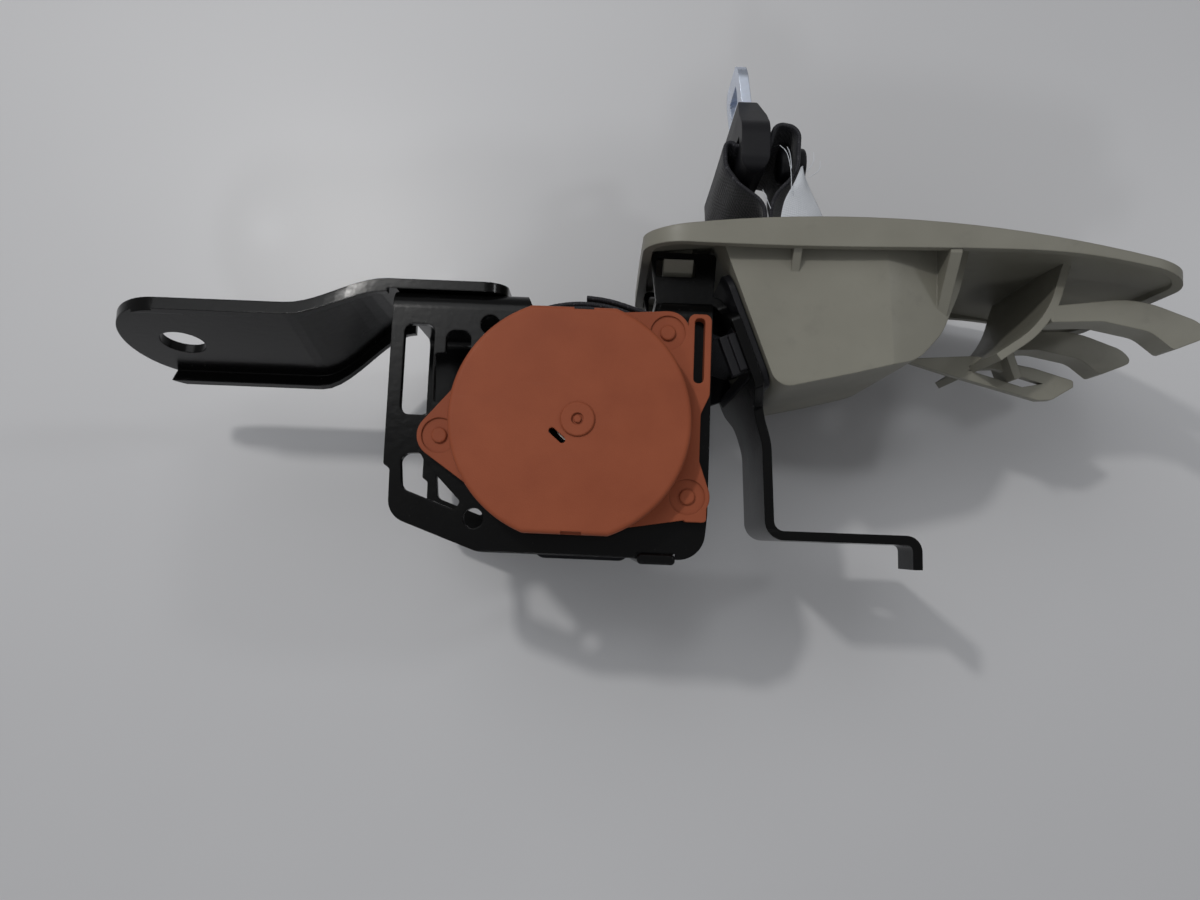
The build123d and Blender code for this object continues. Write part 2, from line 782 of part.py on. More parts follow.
with BuildPart() as spring_base:
    with BuildSketch(Plane.XY.offset(near_out_z)):
        with Locations(cover_centre):
            Circle(cover_radius - cover_wall - seat_gap)
            Rectangle(
                2 * cover_radius, 2 * (cover_flat - cover_wall - seat_gap), mode=Mode.INTERSECT
            )
    extrude(amount=base_top - near_out_z)
    with BuildSketch(Plane.XY.offset(near_in_z + seat_gap)):
        Circle(base_hub_radius)
    extrude(amount=base_top - near_in_z - seat_gap)
    with BuildSketch(Plane.XY.offset(near_in_z)):
        Circle(journal_radius + turn_gap)
    extrude(amount=base_top - near_in_z, mode=Mode.SUBTRACT)
    with BuildSketch(Plane.XY.offset(near_in_z + seat_gap)):
        Circle(base_hub_radius - 2.0)
        Circle(journal_radius + 3.0, mode=Mode.SUBTRACT)
        for turn in range(6):
            with Locations(Location((0, 0, 0), (0, 0, 60 * turn))):
                Rectangle(2 * base_hub_radius, 1.4, mode=Mode.SUBTRACT)
    extrude(amount=2.4, mode=Mode.SUBTRACT)
spring_base.part.label = "spring_base"
export_step(spring_base.part, "parts/spring_base.step")

# Mainspring and the arbor that winds it
spring_low = base_top + 0.4
spring_high = cover_top - cover_wall - 0.4
arbor_radius = 5.9
arbor_square = 5.1
spring_start = arbor_radius + 0.5
spring_end = 24.6
spring_turns = 9
spring_band = 0.5


def coil(radius_from, radius_to, turns, shift):
    """Points of a flat spiral, shifted outward by a set amount."""
    steps = 14 * turns
    points = []
    for step in range(steps + 1):
        radius = radius_from + (radius_to - radius_from) * step / steps + shift
        angle = 2 * pi * turns * step / steps
        points.append((radius * cos(angle), radius * sin(angle)))
    return points


with BuildPart() as mainspring:
    with BuildSketch(Plane.XY.offset(spring_low)):
        with BuildLine():
            inner_edge = Spline(*coil(spring_start, spring_end, spring_turns, 0))
            outer_edge = Spline(*coil(spring_start, spring_end, spring_turns, spring_band))
            Line(inner_edge @ 0, outer_edge @ 0)
            Line(inner_edge @ 1, outer_edge @ 1)
        make_face()
    extrude(amount=spring_high - spring_low)
mainspring.part.label = "mainspring"
export_step(mainspring.part, "parts/mainspring.step")

with BuildPart() as spring_arbor:
    with BuildSketch(Plane.XY.offset(base_top + 0.2)):
        Circle(arbor_radius)
        Rectangle(arbor_square, arbor_square, mode=Mode.SUBTRACT)
    extrude(amount=spring_high - base_top - 0.2)
    with BuildSketch(Plane.XY.offset(spring_low - 0.1)):
        with Locations((arbor_radius - 0.4, 1.2)):
            Rectangle(2.2, 0.8)
    extrude(amount=spring_high - spring_low + 1, mode=Mode.SUBTRACT)
spring_arbor.part.label = "spring_arbor"
export_step(spring_arbor.part, "parts/spring_arbor.step")

# Spool, its torsion bar and the pin that holds the end of the belt
spool_end_gap = 0.5
spool_far = far_in_z + spool_end_gap
spool_near = near_in_z - spool_end_gap
flange_thick = 1.3
flange_radius = 25.0
core_radius = 12.0
bar_hex = 4.4
bar_length = spool_near - spool_far - 10.0
bar_waist = 3.9
bar_bore = 4.7
key_gap = 0.08
belt_pin_spot = (8.75, 0.0)
belt_pin_radius = 1.8
belt_pocket_radius = 3.25
hub_radius = 9.0
web_far = mid_z - belt_width / 2
web_near = mid_z + belt_width / 2

with BuildPart() as spool:
    with BuildSketch(Plane.XY.offset(spool_far)):
        Circle(core_radius)
    extrude(amount=spool_near - spool_far)
    with BuildSketch(Plane.XY.offset(spool_far)):
        Circle(flange_radius)
    extrude(amount=flange_thick)
    with BuildSketch(Plane.XY.offset(spool_near - flange_thick)):
        Circle(flange_radius)
    extrude(amount=flange_thick)
    with BuildSketch(Plane.XY.offset(spool_near)):
        Circle(journal_radius)
    extrude(amount=base_top - spool_near)
    with BuildSketch(Plane.XY.offset(spool_far)):
        Circle(bar_bore)
    extrude(amount=bar_length, mode=Mode.SUBTRACT)
    with BuildSketch(Plane.XY.offset(spool_far)):
        RegularPolygon(bar_hex + key_gap, 6)
    extrude(amount=base_top - spool_far, mode=Mode.SUBTRACT)
    with BuildSketch(Plane.XY.offset(web_far - 0.2)):
        with Locations(belt_pin_spot):
            Circle(belt_pocket_radius)
        with Locations((belt_pin_spot[0] + 4, 0)):
            Rectangle(8.0, 2 * belt_thick + 0.5)
    extrude(amount=belt_width + 0.4, mode=Mode.SUBTRACT)
spool.part.label = "spool"
export_step(spool.part, "parts/spool.step")

with BuildPart() as webbing_pin:
    with BuildSketch(Plane.XY.offset(web_far)):
        with Locations(belt_pin_spot):
            Circle(belt_pin_radius)
    extrude(amount=belt_width)
webbing_pin.part.label = "webbing_pin"
export_step(webbing_pin.part, "parts/webbing_pin.step")

# Lock side
tip_radius = 1.6
sensor_wheel_low = 6.5
sensor_wheel_high = 10.9
plate_low = 11.5
plate_high = 14.0
ratchet_low = 14.5
ratchet_high = 18.5
ratchet_hub = 6.0
ratchet_tip = 20.0
ratchet_root = 17.3
ratchet_teeth = 18
ratchet_start = 226.6

with BuildPart() as torsion_bar:
    with BuildSketch(Plane.XY.offset(sensor_wheel_high + 0.2)):
        RegularPolygon(bar_hex, 6)
    extrude(amount=spool_far - sensor_wheel_high - 0.2)
    with BuildSketch(Plane.XY.offset(spool_far)):
        Circle(bar_waist)
    extrude(amount=bar_length)
    with BuildSketch(Plane.XY.offset(spool_far + bar_length)):
        RegularPolygon(bar_hex, 6)
    extrude(amount=base_top - spool_far - bar_length)
    with BuildSketch(Plane.XY.offset(base_top)):
        Rectangle(arbor_square - 0.1, arbor_square - 0.1)
    extrude(amount=spring_high - 1.0 - base_top)
    with BuildSketch(Plane.XY.offset(sensor_wheel_low + 0.3)):
        Circle(tip_radius)
    extrude(amount=sensor_wheel_high - sensor_wheel_low)
torsion_bar.part.label = "torsion_bar"
export_step(torsion_bar.part, "parts/torsion_bar.step")


def polar(radius, angle):
    """A point at a radius from the reel axis and an angle in degrees."""
    return (radius * cos(radians(angle)), radius * sin(radians(angle)))


def saw_teeth(tip, root, teeth, start):
    """Corners of a saw-toothed wheel whose steep faces look clockwise, the first one at start degrees."""
    pitch = 360 / teeth
    points = []
    for tooth in range(teeth):
        at = start + pitch * tooth
        points.append(polar(root, at))
        points.append(polar(tip, at + 1.0))
        points.append(polar(tip, at + 0.22 * pitch))
    return points


# The pawl swings from rest into the ratchet; its lengths follow from its pivot and its engaged tip
pawl_swing = 8.0
guide_pin_radius = 1.2
guide_pin_rest = (-22.0, -8.0)
cam_gap = 0.25
pivot_boss = 3.7

with BuildPart() as ratchet_wheel:
    with BuildSketch(Plane.XY.offset(ratchet_low)):
        with BuildLine():
            Polyline(*saw_teeth(ratchet_tip, ratchet_root, ratchet_teeth, ratchet_start), close=True)
        make_face()
    extrude(amount=ratchet_high - ratchet_low)
    with BuildSketch(Plane.XY.offset(sensor_wheel_high + 0.1)):
        Circle(ratchet_hub)
    extrude(amount=ratchet_low - sensor_wheel_high - 0.1)
    with BuildSketch(Plane.XY.offset(ratchet_high)):
        Circle(hub_radius)
    extrude(amount=spool_far - 0.1 - ratchet_high)
    with BuildSketch(Plane.XY.offset(sensor_wheel_high)):
        RegularPolygon(bar_hex + key_gap, 6)
    extrude(amount=spool_far - sensor_wheel_high, mode=Mode.SUBTRACT)
ratchet_wheel.part.label = "ratchet_wheel"
export_step(ratchet_wheel.part, "parts/ratchet_wheel.step")

with BuildPart() as spool_bush:
    with BuildSketch(Plane.XY.offset(far_out_z)):
        Circle(reel_hole_radius - turn_gap)
        Circle(hub_radius + turn_gap, mode=Mode.SUBTRACT)
    extrude(amount=sheet)
    with BuildSketch(Plane.XY.offset(ratchet_high + 0.1)):
        Circle(reel_hole_radius + 2.0)
        Circle(reel_hole_radius - 4.0, mode=Mode.SUBTRACT)
    extrude(amount=far_out_z - ratchet_high - 0.1)
spool_bush.part.label = "spool_bush"
export_step(spool_bush.part, "parts/spool_bush.step")


def turned(point, centre, angle):
    """A point turned about a centre by so many degrees."""
    x = point[0] - centre[0]
    y = point[1] - centre[1]
    c = cos(radians(angle))
    s = sin(radians(angle))
    return (centre[0] + x * c - y * s, centre[1] + x * s + y * c)


pawl_engaged = [
    polar(17.75, 225.4),
    polar(18.9, 221.0),
    polar(19.85, 215.0),
    polar(20.7, 210.5),
    polar(20.5, 200.0),
    (-24.6, 2.2),
    (-27.2, 6.2),
    (-29.6, 6.6),
    (-31.2, 1.0),
    (-30.2, -5.0),
    (-25.5, -12.2),
    (-19.5, -17.0),
    polar(22.3, 227.2),
    polar(20.0, 226.7),
]

with BuildPart() as locking_pawl:
    with BuildSketch(Plane.XY.offset(ratchet_low + 0.1)):
        with BuildLine():
            Polyline(*[turned(point, pawl_pivot, -pawl_swing) for point in pawl_engaged], close=True)
        make_face()
        with Locations(pawl_pivot):
            Circle(pivot_boss)
            Circle(pivot_radius + turn_gap, mode=Mode.SUBTRACT)
    extrude(amount=ratchet_high - ratchet_low - 0.2)
    with BuildSketch(Plane.XY.offset(plate_low + 0.2)):
        with Locations(guide_pin_rest):
            Circle(guide_pin_radius)
    extrude(amount=ratchet_low - plate_low)
locking_pawl.part.label = "locking_pawl"
export_step(locking_pawl.part, "parts/locking_pawl.step")

with BuildPart() as pawl_pin:
    with BuildSketch(Plane.XY.offset(ratchet_low - 0.3)):
        with Locations(pawl_pivot):
            Circle(pivot_radius)
    extrude(amount=far_in_z - ratchet_low + 0.3)
    with BuildSketch(Plane.XY.offset(far_in_z)):
        with Locations(pawl_pivot):
            Circle(2.6)
    extrude(amount=0.8)
    chamfer(pawl_pin.edges().group_by(Axis.Z)[-1], 0.3)
pawl_pin.part.label = "pawl_pin"
export_step(pawl_pin.part, "parts/pawl_pin.step")

# Leaf that holds the pawl off the ratchet by pressing on its tail
pawl_tail = turned((-29.6, 6.6), pawl_pivot, -pawl_swing)

with BuildPart() as pawl_spring:
    add(
        thick_line(
            [
                (-22.6, 17.0),
                (-26.4, 15.4),
                (-28.2, 11.6),
                (pawl_tail[0] - 0.08, pawl_tail[1] + 1.14),
                (pawl_tail[0] - 1.43, pawl_tail[1] - 1.86),
            ],
            [1.0, 2.0, 1.0],
            0.4,
            15.0,
            18.0,
        )
    )
pawl_spring.part.label = "pawl_spring"
export_step(pawl_spring.part, "parts/pawl_spring.step")

# Lock plate, whose cam slot swings the pawl in as the plate turns clockwise
plate_turn = 8.0
plate_radius = 19.0
ear_radius = 26.3
pin_engaged = turned(guide_pin_rest, pawl_pivot, pawl_swing)
cam_start = guide_pin_rest
cam_end = turned(pin_engaged, (0, 0), plate_turn)

with BuildPart() as lock_plate:
    with BuildSketch(Plane.XY.offset(plate_low)):
        Circle(plate_radius)
        with BuildLine():
            Polyline(
                polar(10, 190),
                polar(ear_radius - 1, 193),
                polar(ear_radius, 197),
                polar(ear_radius, 207),
                polar(ear_radius - 1, 212),
                polar(10, 220),
                close=True,
            )
        make_face()
        Circle(ratchet_hub + turn_gap, mode=Mode.SUBTRACT)
        with Locations(cam_start, cam_end):
            Circle(guide_pin_radius + cam_gap, mode=Mode.SUBTRACT)
        with BuildLine():
            slot_line = Line(cam_start, cam_end)
            offset(slot_line, amount=guide_pin_radius + cam_gap, side=Side.BOTH, closed=True)
        make_face(mode=Mode.SUBTRACT)
        with Locations(polar(12.5, 20), polar(12.5, 110), polar(12.5, 290)):
            Circle(3.4, mode=Mode.SUBTRACT)
    extrude(amount=plate_high - plate_low)
lock_plate.part.label = "lock_plate"
export_step(lock_plate.part, "parts/lock_plate.step")

# Vehicle sensor: a ball in a sloped cup lifts a lever into the sensor wheel
sensor_tip = 16.5
sensor_root = 15.1
sensor_teeth = 30
sensor_hub = 3.0
ball_spot = (2.0, -27.0, 9.0)
ball_radius = 5.5
ball_travel = 2.0
ball_slope = 20.0
lever_pivot = (-8.0, -20.2)
lever_low = 6.6
lever_high = 10.4
lever_turn = 5.73
lever_tip = polar(17.6, -62.5)
lever_tip_up = turned(lever_tip, lever_pivot, lever_turn)
sensor_start = degrees(atan2(lever_tip_up[1], lever_tip_up[0])) + 2.2

with BuildPart() as sensor_wheel:
    with BuildSketch(Plane.XY.offset(sensor_wheel_low)):
        with BuildLine():
            Polyline(*saw_teeth(sensor_tip, sensor_root, sensor_teeth, sensor_start), close=True)
        make_face()
        with Locations(*[polar(10.5, 60 * turn) for turn in range(6)]):
            Circle(2.6, mode=Mode.SUBTRACT)
    extrude(amount=sensor_wheel_high - sensor_wheel_low)
    with BuildSketch(Plane.XY.offset(2.7)):
        Circle(sensor_hub)
    extrude(amount=sensor_wheel_low - 2.7)
    with BuildSketch(Plane.XY.offset(sensor_wheel_low + 0.1)):
        Circle(tip_radius + 0.03)
    extrude(amount=sensor_wheel_high - sensor_wheel_low, mode=Mode.SUBTRACT)
sensor_wheel.part.label = "sensor_wheel"
export_step(sensor_wheel.part, "parts/sensor_wheel.step")

with BuildPart() as inertia_disc:
    with BuildSketch(Plane.XY.offset(2.8)):
        Circle(15.0)
        Circle(sensor_hub + turn_gap, mode=Mode.SUBTRACT)
        with Locations(*[polar(9.6, 120 * turn) for turn in range(3)]):
            Circle(2.4, mode=Mode.SUBTRACT)
    extrude(amount=3.4)
inertia_disc.part.label = "inertia_disc"
export_step(inertia_disc.part, "parts/inertia_disc.step")

lift = (ball_travel * cos(radians(ball_slope)), ball_travel * sin(radians(ball_slope)))

with BuildPart() as sensor_housing:
    with BuildSketch(Plane.XY.offset(2.3)):
        with BuildLine():
            FilletPolyline(
                (-11.5, -33.3),
                (11.0, -33.3),
                (11.0, -25.0),
                (-5.0, -25.0),
                (-5.2, -18.2),
                (-10.8, -18.2),
                radius=[2, 2, 1.5, 0.8, 2.4, 2.4],
                close=True,
            )
        make_face()
    extrude(amount=13.4)
    with BuildSketch(Plane.XY.offset(lever_low - 0.3)):
        with Locations((-5.0, -16.0)):
            Rectangle(20.0, 16.4)
        with Locations(lever_pivot):
            Circle(1.0, mode=Mode.SUBTRACT)
    extrude(amount=lever_high - lever_low + 0.6, mode=Mode.SUBTRACT)
    with BuildSketch(Plane.XY.offset(lever_high + 0.5)):
        Circle(ratchet_tip + 0.6)
    extrude(amount=10, mode=Mode.SUBTRACT)
    with Locations(ball_spot):
        Sphere(ball_radius + 0.12, mode=Mode.SUBTRACT)
    for side in (-1, 1):
        end = (ball_spot[0] + side * lift[0], ball_spot[1] + lift[1], ball_spot[2])
        with Locations(end):
            Sphere(ball_radius + 0.12, mode=Mode.SUBTRACT)
        with BuildSketch(
            Plane(origin=ball_spot, z_dir=(side * cos(radians(ball_slope)), sin(radians(ball_slope)), 0))
        ):
            Circle(ball_radius + 0.12)
        extrude(amount=ball_travel, mode=Mode.SUBTRACT)
    with BuildSketch(Plane.XZ.offset(-ball_spot[1])):
        with Locations((ball_spot[0], ball_spot[2])):
            Circle(ball_radius + 0.12)
            with Locations((lift[0], 0), (-lift[0], 0)):
                Circle(ball_radius + 0.12)
    extrude(amount=-12, mode=Mode.SUBTRACT)
sensor_housing.part.label = "sensor_housing"
export_step(sensor_housing.part, "parts/sensor_housing.step")

with BuildPart() as sensor_ball:
    with Locations(ball_spot):
        Sphere(ball_radius)
sensor_ball.part.label = "sensor_ball"
export_step(sensor_ball.part, "parts/sensor_ball.step")

with BuildPart() as sensor_lever:
    with BuildSketch(Plane.XY.offset(lever_low)):
        with BuildLine():
            FilletPolyline(
                (-8.6, -18.2),
                (3.0, -19.6),
                (lever_tip[0] - 0.9, lever_tip[1] - 1.5),
                lever_tip,
                (lever_tip[0] + 0.35, lever_tip[1]),
                (lever_tip[0] + 1.3, lever_tip[1] - 3.0),
                (3.2, -21.25),
                (-8.6, -21.9),
                radius=[1.6, 2, 0.5, 0.1, 0.1, 1, 3, 1.6],
                close=True,
            )
        make_face()
        with Locations(lever_pivot):
            Circle(2.0)
            Circle(1.0 + turn_gap, mode=Mode.SUBTRACT)
    extrude(amount=lever_high - lever_low)
sensor_lever.part.label = "sensor_lever"
export_step(sensor_lever.part, "parts/sensor_lever.step")

# Cover over the lock side, with its three screws; the part rests on its floor
lock_floor = 2.2
lock_wall = 2.0
lock_radius = 34.0


def lock_outline(inset, level):
    """Plan of the lock cover at a level, drawn in by an inset."""
    with BuildSketch(Plane.XY.offset(level)) as plan:
        Circle(lock_radius - inset)
        with Locations(pawl_pivot):
            Circle(8.0 - inset)
        with Locations((1.0, -27.3)):
            RectangleRounded(30.0 - 2 * inset, 16.6 - 2 * inset, 3.5 - inset)
    return plan.sketch


with BuildPart() as mechanism_cover:
    extrude(lock_outline(0, 0), far_out_z)
    fillet(mechanism_cover.edges().group_by(Axis.Z)[0], 1.5)
    with BuildSketch(Plane.XY.offset(far_out_z - 4.0)):
        with Locations(*lock_cover_spots):
            Circle(4.4)
    extrude(amount=4.0)
    extrude(lock_outline(lock_wall, lock_floor), far_out_z, mode=Mode.SUBTRACT)
    with BuildSketch(Plane.XY.offset(far_out_z - 4.0)):
        with Locations(*lock_cover_spots):
            Circle(lug_bore)
    extrude(amount=4.0, mode=Mode.SUBTRACT)
    with BuildSketch(Plane.XY.offset(lock_floor)):
        with Locations((-22.3, 19.2)):
            Circle(1.8)
    extrude(amount=15.8)
    with BuildSketch(Plane.XY):
        Circle(22.0)
        Circle(20.8, mode=Mode.SUBTRACT)
        with Locations((24.0, 10.0), (20.0, -16.0), (-14.0, 22.0)):
            Circle(1.6)
    extrude(amount=0.5, mode=Mode.SUBTRACT)
mechanism_cover.part.label = "mechanism_cover"
export_step(mechanism_cover.part, "parts/mechanism_cover.step")

with BuildPart() as lock_cover_screws:
    for spot in lock_cover_spots:
        with BuildSketch(Plane.XY.offset(far_out_z - 6.0)):
            with Locations(spot):
                Circle(2.8)
                RegularPolygon(1.3, 6, mode=Mode.SUBTRACT)
        extrude(amount=2.0)
        with BuildSketch(Plane.XY.offset(far_out_z - 4.6)):
            with Locations(spot):
                Circle(pin_radius)
        extrude(amount=4.6 + sheet - 0.1)
lock_cover_screws.part.label = "lock_cover_screws"
export_step(lock_cover_screws.part, "parts/lock_cover_screws.step")


# Belt: the roll on the spool, the lead through the guide, the strand in the mouth and the loop
def belt_piece(points, radii):
    """A run of belt standing on its edge between the belt's far and near edges."""
    return thick_line(points, radii, belt_thick, web_far, web_near)


with BuildPart() as webbing_roll:
    with BuildSketch(Plane.XY.offset(web_far)):
        Circle(roll_radius)
        Circle(core_radius + 0.2, mode=Mode.SUBTRACT)
        with Locations(((belt_pin_spot[0] + belt_pin_radius + core_radius + 0.8) / 2, 0)):
            Rectangle(core_radius + 0.8 - belt_pin_spot[0] - belt_pin_radius, 2 * belt_thick)
        with Locations(belt_pin_spot):
            Circle(belt_pin_radius + 0.1 + belt_thick)
            Circle(belt_pin_radius + 0.1, mode=Mode.SUBTRACT)
    extrude(amount=belt_width)
webbing_roll.part.label = "webbing_roll"
export_step(webbing_roll.part, "parts/webbing_roll.step")

lead_radius = roll_radius + belt_gap + belt_thick / 2
lead_tangent = 72.6
lead_wrap = 88.0
lead_bend = 7.5
lead_corner = (55.32, 19.45)
lead_end = (48.83, 44.0)
strand_start = (48.75, 44.3)
strand_end = (45.47, 56.7)
wrap_start = (
    lead_radius * cos(radians(lead_wrap)) - 0.6 * sin(radians(lead_wrap)),
    lead_radius * sin(radians(lead_wrap)) + 0.6 * cos(radians(lead_wrap)),
)
wrap_corner = polar(lead_radius / cos(radians((lead_wrap - lead_tangent) / 2)), (lead_wrap + lead_tangent) / 2)

with BuildPart() as webbing_lead:
    add(belt_piece([wrap_start, wrap_corner, lead_corner, lead_end], [lead_radius, lead_bend]))
webbing_lead.part.label = "webbing_lead"
export_step(webbing_lead.part, "parts/webbing_lead.step")

with BuildPart() as webbing_strand:
    add(belt_piece([strand_start, strand_end], None))
webbing_strand.part.label = "webbing_strand"
export_step(webbing_strand.part, "parts/webbing_strand.step")

# Places on the belt's end
slot_middle = (43.8, 79.0)
button_spot = (56.1, 77.2, 61.5)
button_pin = 1.5
anchor_slot = (66.0, 33.0)
anchor_lean = 18.0
anchor_bar = (-8.5, -3.5)
anchor_thick = 2.5
anchor_ring = 2.95
anchor_run = (cos(radians(anchor_lean)), sin(radians(anchor_lean)))
anchor_pivot = (anchor_slot[0] - 6.0 * anchor_run[0], anchor_slot[1] - 6.0 * anchor_run[1])

with BuildPart() as webbing_loop:
    add(
        belt_piece(
            [
                (45.4, 57.0),
                (44.0, 61.5),
                (40.2, 66.3),
                (37.3, 72.5),
                (37.0, 80.2),
                (38.5, 80.2),
                (39.9, slot_middle[1]),
                (48.7, slot_middle[1]),
                (50.9, 84.9),
                (56.1, 84.6),
                (56.1, 70.8),
                (53.6, 65.0),
                (52.4, 58.0),
                (55.4, 46.0),
                (59.0, 35.0),
            ],
            [5, 6, 8, 0.7, 0.7, 0.7, 1.5, 2.0, 2.4, 8, 10, 12, 12],
        )
    )
    with BuildSketch(Plane.XY.offset(web_far)):
        with Locations(anchor_pivot):
            Circle(anchor_ring + belt_thick)
    extrude(amount=belt_width)
    add(thick_line([(54.9, 50.0), (56.1, 46.2), (59.6, 35.6)], [20], 2 * belt_thick, web_far, web_near))
    with BuildSketch(Plane.XY.offset(web_far)):
        with Locations(anchor_pivot):
            Circle(anchor_ring)
    extrude(amount=belt_width, mode=Mode.SUBTRACT)
    with BuildSketch(Plane.YZ.offset(button_spot[0] - 1)):
        with Locations(button_spot[1:]):
            Circle(button_pin + 0.1)
    extrude(amount=2, mode=Mode.SUBTRACT)
webbing_loop.part.label = "webbing_loop"
export_step(webbing_loop.part, "parts/webbing_loop.step")

# Stop button, a stud half and a socket half snapped together through the belt
button_radius = 5.0
button_thick = 3.0

with BuildPart() as stop_button:
    with BuildSketch(Plane.YZ.offset(button_spot[0] + belt_thick / 2 + seat_gap)):
        with Locations(button_spot[1:]):
            Circle(button_radius)
    extrude(amount=button_thick)
    with BuildSketch(Plane.YZ.offset(button_spot[0] - belt_thick / 2 - seat_gap)):
        with Locations(button_spot[1:]):
            Circle(button_radius)
    extrude(amount=-button_thick)
    fillet(stop_button.edges().group_by(Axis.X)[0] + stop_button.edges().group_by(Axis.X)[-1], 1.0)
    with BuildSketch(Plane.YZ.offset(button_spot[0] - belt_thick / 2 - button_thick)):
        with Locations(button_spot[1:]):
            Circle(button_pin + turn_gap)
    extrude(amount=button_thick, mode=Mode.SUBTRACT)
    with BuildSketch(Plane.YZ.offset(button_spot[0] - belt_thick / 2 - button_thick + 0.4)):
        with Locations(button_spot[1:]):
            Circle(button_pin)
    extrude(amount=button_thick + belt_thick)
stop_button.part.label = "stop_button"
export_step(stop_button.part, "parts/stop_button.step")

with BuildPart() as belt_label:
    add(
        thick_line(
            [(57.1, 71.9), (57.3, 69.4), (62.8, 58.5), (63.4, 54.0)], [6, 6], 0.4, mid_z - 1.0, web_near - 0.5
        )
    )
belt_label.part.label = "belt_label"
export_step(belt_label.part, "parts/belt_label.step")

# Anchor plate on the belt's end
anchor_half_wide = 28.0
anchor_half_end = 12.5
anchor_hole = 19.6
anchor_end = 32.0
anchor_hole_radius = 5.75
anchor_frame = Plane(
    origin=(anchor_slot[0], anchor_slot[1], mid_z), x_dir=(anchor_run[0], anchor_run[1], 0),
    z_dir=(-anchor_run[1], anchor_run[0], 0),
)

with BuildPart() as anchor_plate:
    with BuildSketch(anchor_frame.offset(-anchor_thick / 2)):
        with BuildLine():
            FilletPolyline(
                (anchor_bar[0], -anchor_half_wide),
                (5.0, -anchor_half_wide),
                (15.5, -anchor_half_end),
                (anchor_end, -anchor_half_end),
                (anchor_end, anchor_half_end),
                (15.5, anchor_half_end),
                (5.0, anchor_half_wide),
                (anchor_bar[0], anchor_half_wide),
                radius=[3, 5, 5, 12, 12, 5, 5, 3],
                close=True,
            )
        make_face()
        RectangleRounded(-2 * anchor_bar[1], belt_width + 1.6, 1.5, mode=Mode.SUBTRACT)
        with Locations((anchor_hole, 0)):
            Circle(anchor_hole_radius, mode=Mode.SUBTRACT)
    extrude(amount=anchor_thick)
anchor_plate.part.label = "anchor_plate"
export_step(anchor_plate.part, "parts/anchor_plate.step")

# Tongue: a bent steel blade moulded into a plastic cover with the belt's slot
cover_thick = 7.6
cover_low = 69.8
cover_high = 96.5
cover_half_wide = 30.5
cover_half_high = 13.2
slot_half_width = 25.4
slot_half_height = 2.0
blade_thick = 2.8
blade_half_width = 12.2
blade_bend = (43.6, 97.0)
blade_tip = (41.9, 109.6)


def blade_face(grow, slot_grow):
    """The blade's outline across the belt in (Z, Y), with its belt slot."""
    with BuildSketch(Plane.ZY) as face:
        with BuildLine():
            FilletPolyline(
                (mid_z - 28.0 - grow, cover_low + 2.0 - grow),
                (mid_z + 28.0 + grow, cover_low + 2.0 - grow),
                (mid_z + 28.0 + grow, 82.5),
                (mid_z + blade_half_width + grow, 93.5),
                (mid_z + blade_half_width + grow, blade_tip[1]),
                (mid_z - blade_half_width - grow, blade_tip[1]),
                (mid_z - blade_half_width - grow, 93.5),
                (mid_z - 28.0 - grow, 82.5),
                radius=[2, 2, 5, 1.5, 5.5, 5.5, 1.5, 5],
                close=True,
            )
        make_face()
        with Locations((mid_z, slot_middle[1])):
            Rectangle(
                2 * slot_half_width + 2.0 - slot_grow, 2 * slot_half_height + 1.6 - slot_grow, mode=Mode.SUBTRACT
            )
    return face.sketch


blade_line = [(slot_middle[0], cover_low + 2.0), blade_bend, blade_tip]

with BuildPart() as tongue_blade:
    add(thick_line(blade_line, [8], blade_thick, 10, 84))
    extrude(blade_face(0, 0), -100, mode=Mode.INTERSECT)
    with BuildSketch(Plane.ZY):
        with Locations((mid_z, 102.2)):
            RectangleRounded(13.0, 5.0, 1.2)
    extrude(amount=-100, mode=Mode.SUBTRACT)
tongue_blade.part.label = "tongue_blade"
export_step(tongue_blade.part, "parts/tongue_blade.step")

with BuildPart() as blade_room:
    add(thick_line(blade_line, [8], blade_thick + 0.06, 10, 84))
    extrude(blade_face(0.03, 0.06), -100, mode=Mode.INTERSECT)

with BuildPart() as tongue_cover:
    with BuildSketch(Plane.XY.offset(mid_z - cover_half_wide)):
        with BuildLine():
            FilletPolyline(
                (slot_middle[0] - cover_thick / 2, cover_low),
                (slot_middle[0] + cover_thick / 2, cover_low),
                (slot_middle[0] + cover_thick / 2, 88.0),
                (slot_middle[0] + 2.6, cover_high),
                (slot_middle[0] - 2.8, cover_high),
                (slot_middle[0] - cover_thick / 2, 88.0),
                radius=[3.7, 3.7, 8, 1.2, 1.2, 8],
                close=True,
            )
        make_face()
    extrude(amount=2 * cover_half_wide)
    with BuildSketch(Plane.ZY):
        with BuildLine():
            FilletPolyline(
                (mid_z - cover_half_wide, cover_low),
                (mid_z + cover_half_wide, cover_low),
                (mid_z + cover_half_wide, 82.0),
                (mid_z + cover_half_high, cover_high),
                (mid_z - cover_half_high, cover_high),
                (mid_z - cover_half_wide, 82.0),
                radius=[4, 4, 7, 2, 2, 7],
                close=True,
            )
        make_face()
    extrude(amount=-100, mode=Mode.INTERSECT)
    with BuildSketch(Plane.ZY):
        with Locations((mid_z, slot_middle[1])):
            RectangleRounded(2 * slot_half_width, 2 * slot_half_height, 1.2)
    extrude(amount=-100, mode=Mode.SUBTRACT)
    add(blade_room.part, mode=Mode.SUBTRACT)
tongue_cover.part.label = "tongue_cover"
export_step(tongue_cover.part, "parts/tongue_cover.step")
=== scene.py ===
import math

import bmesh
import bpy
from mathutils import Matrix, Vector


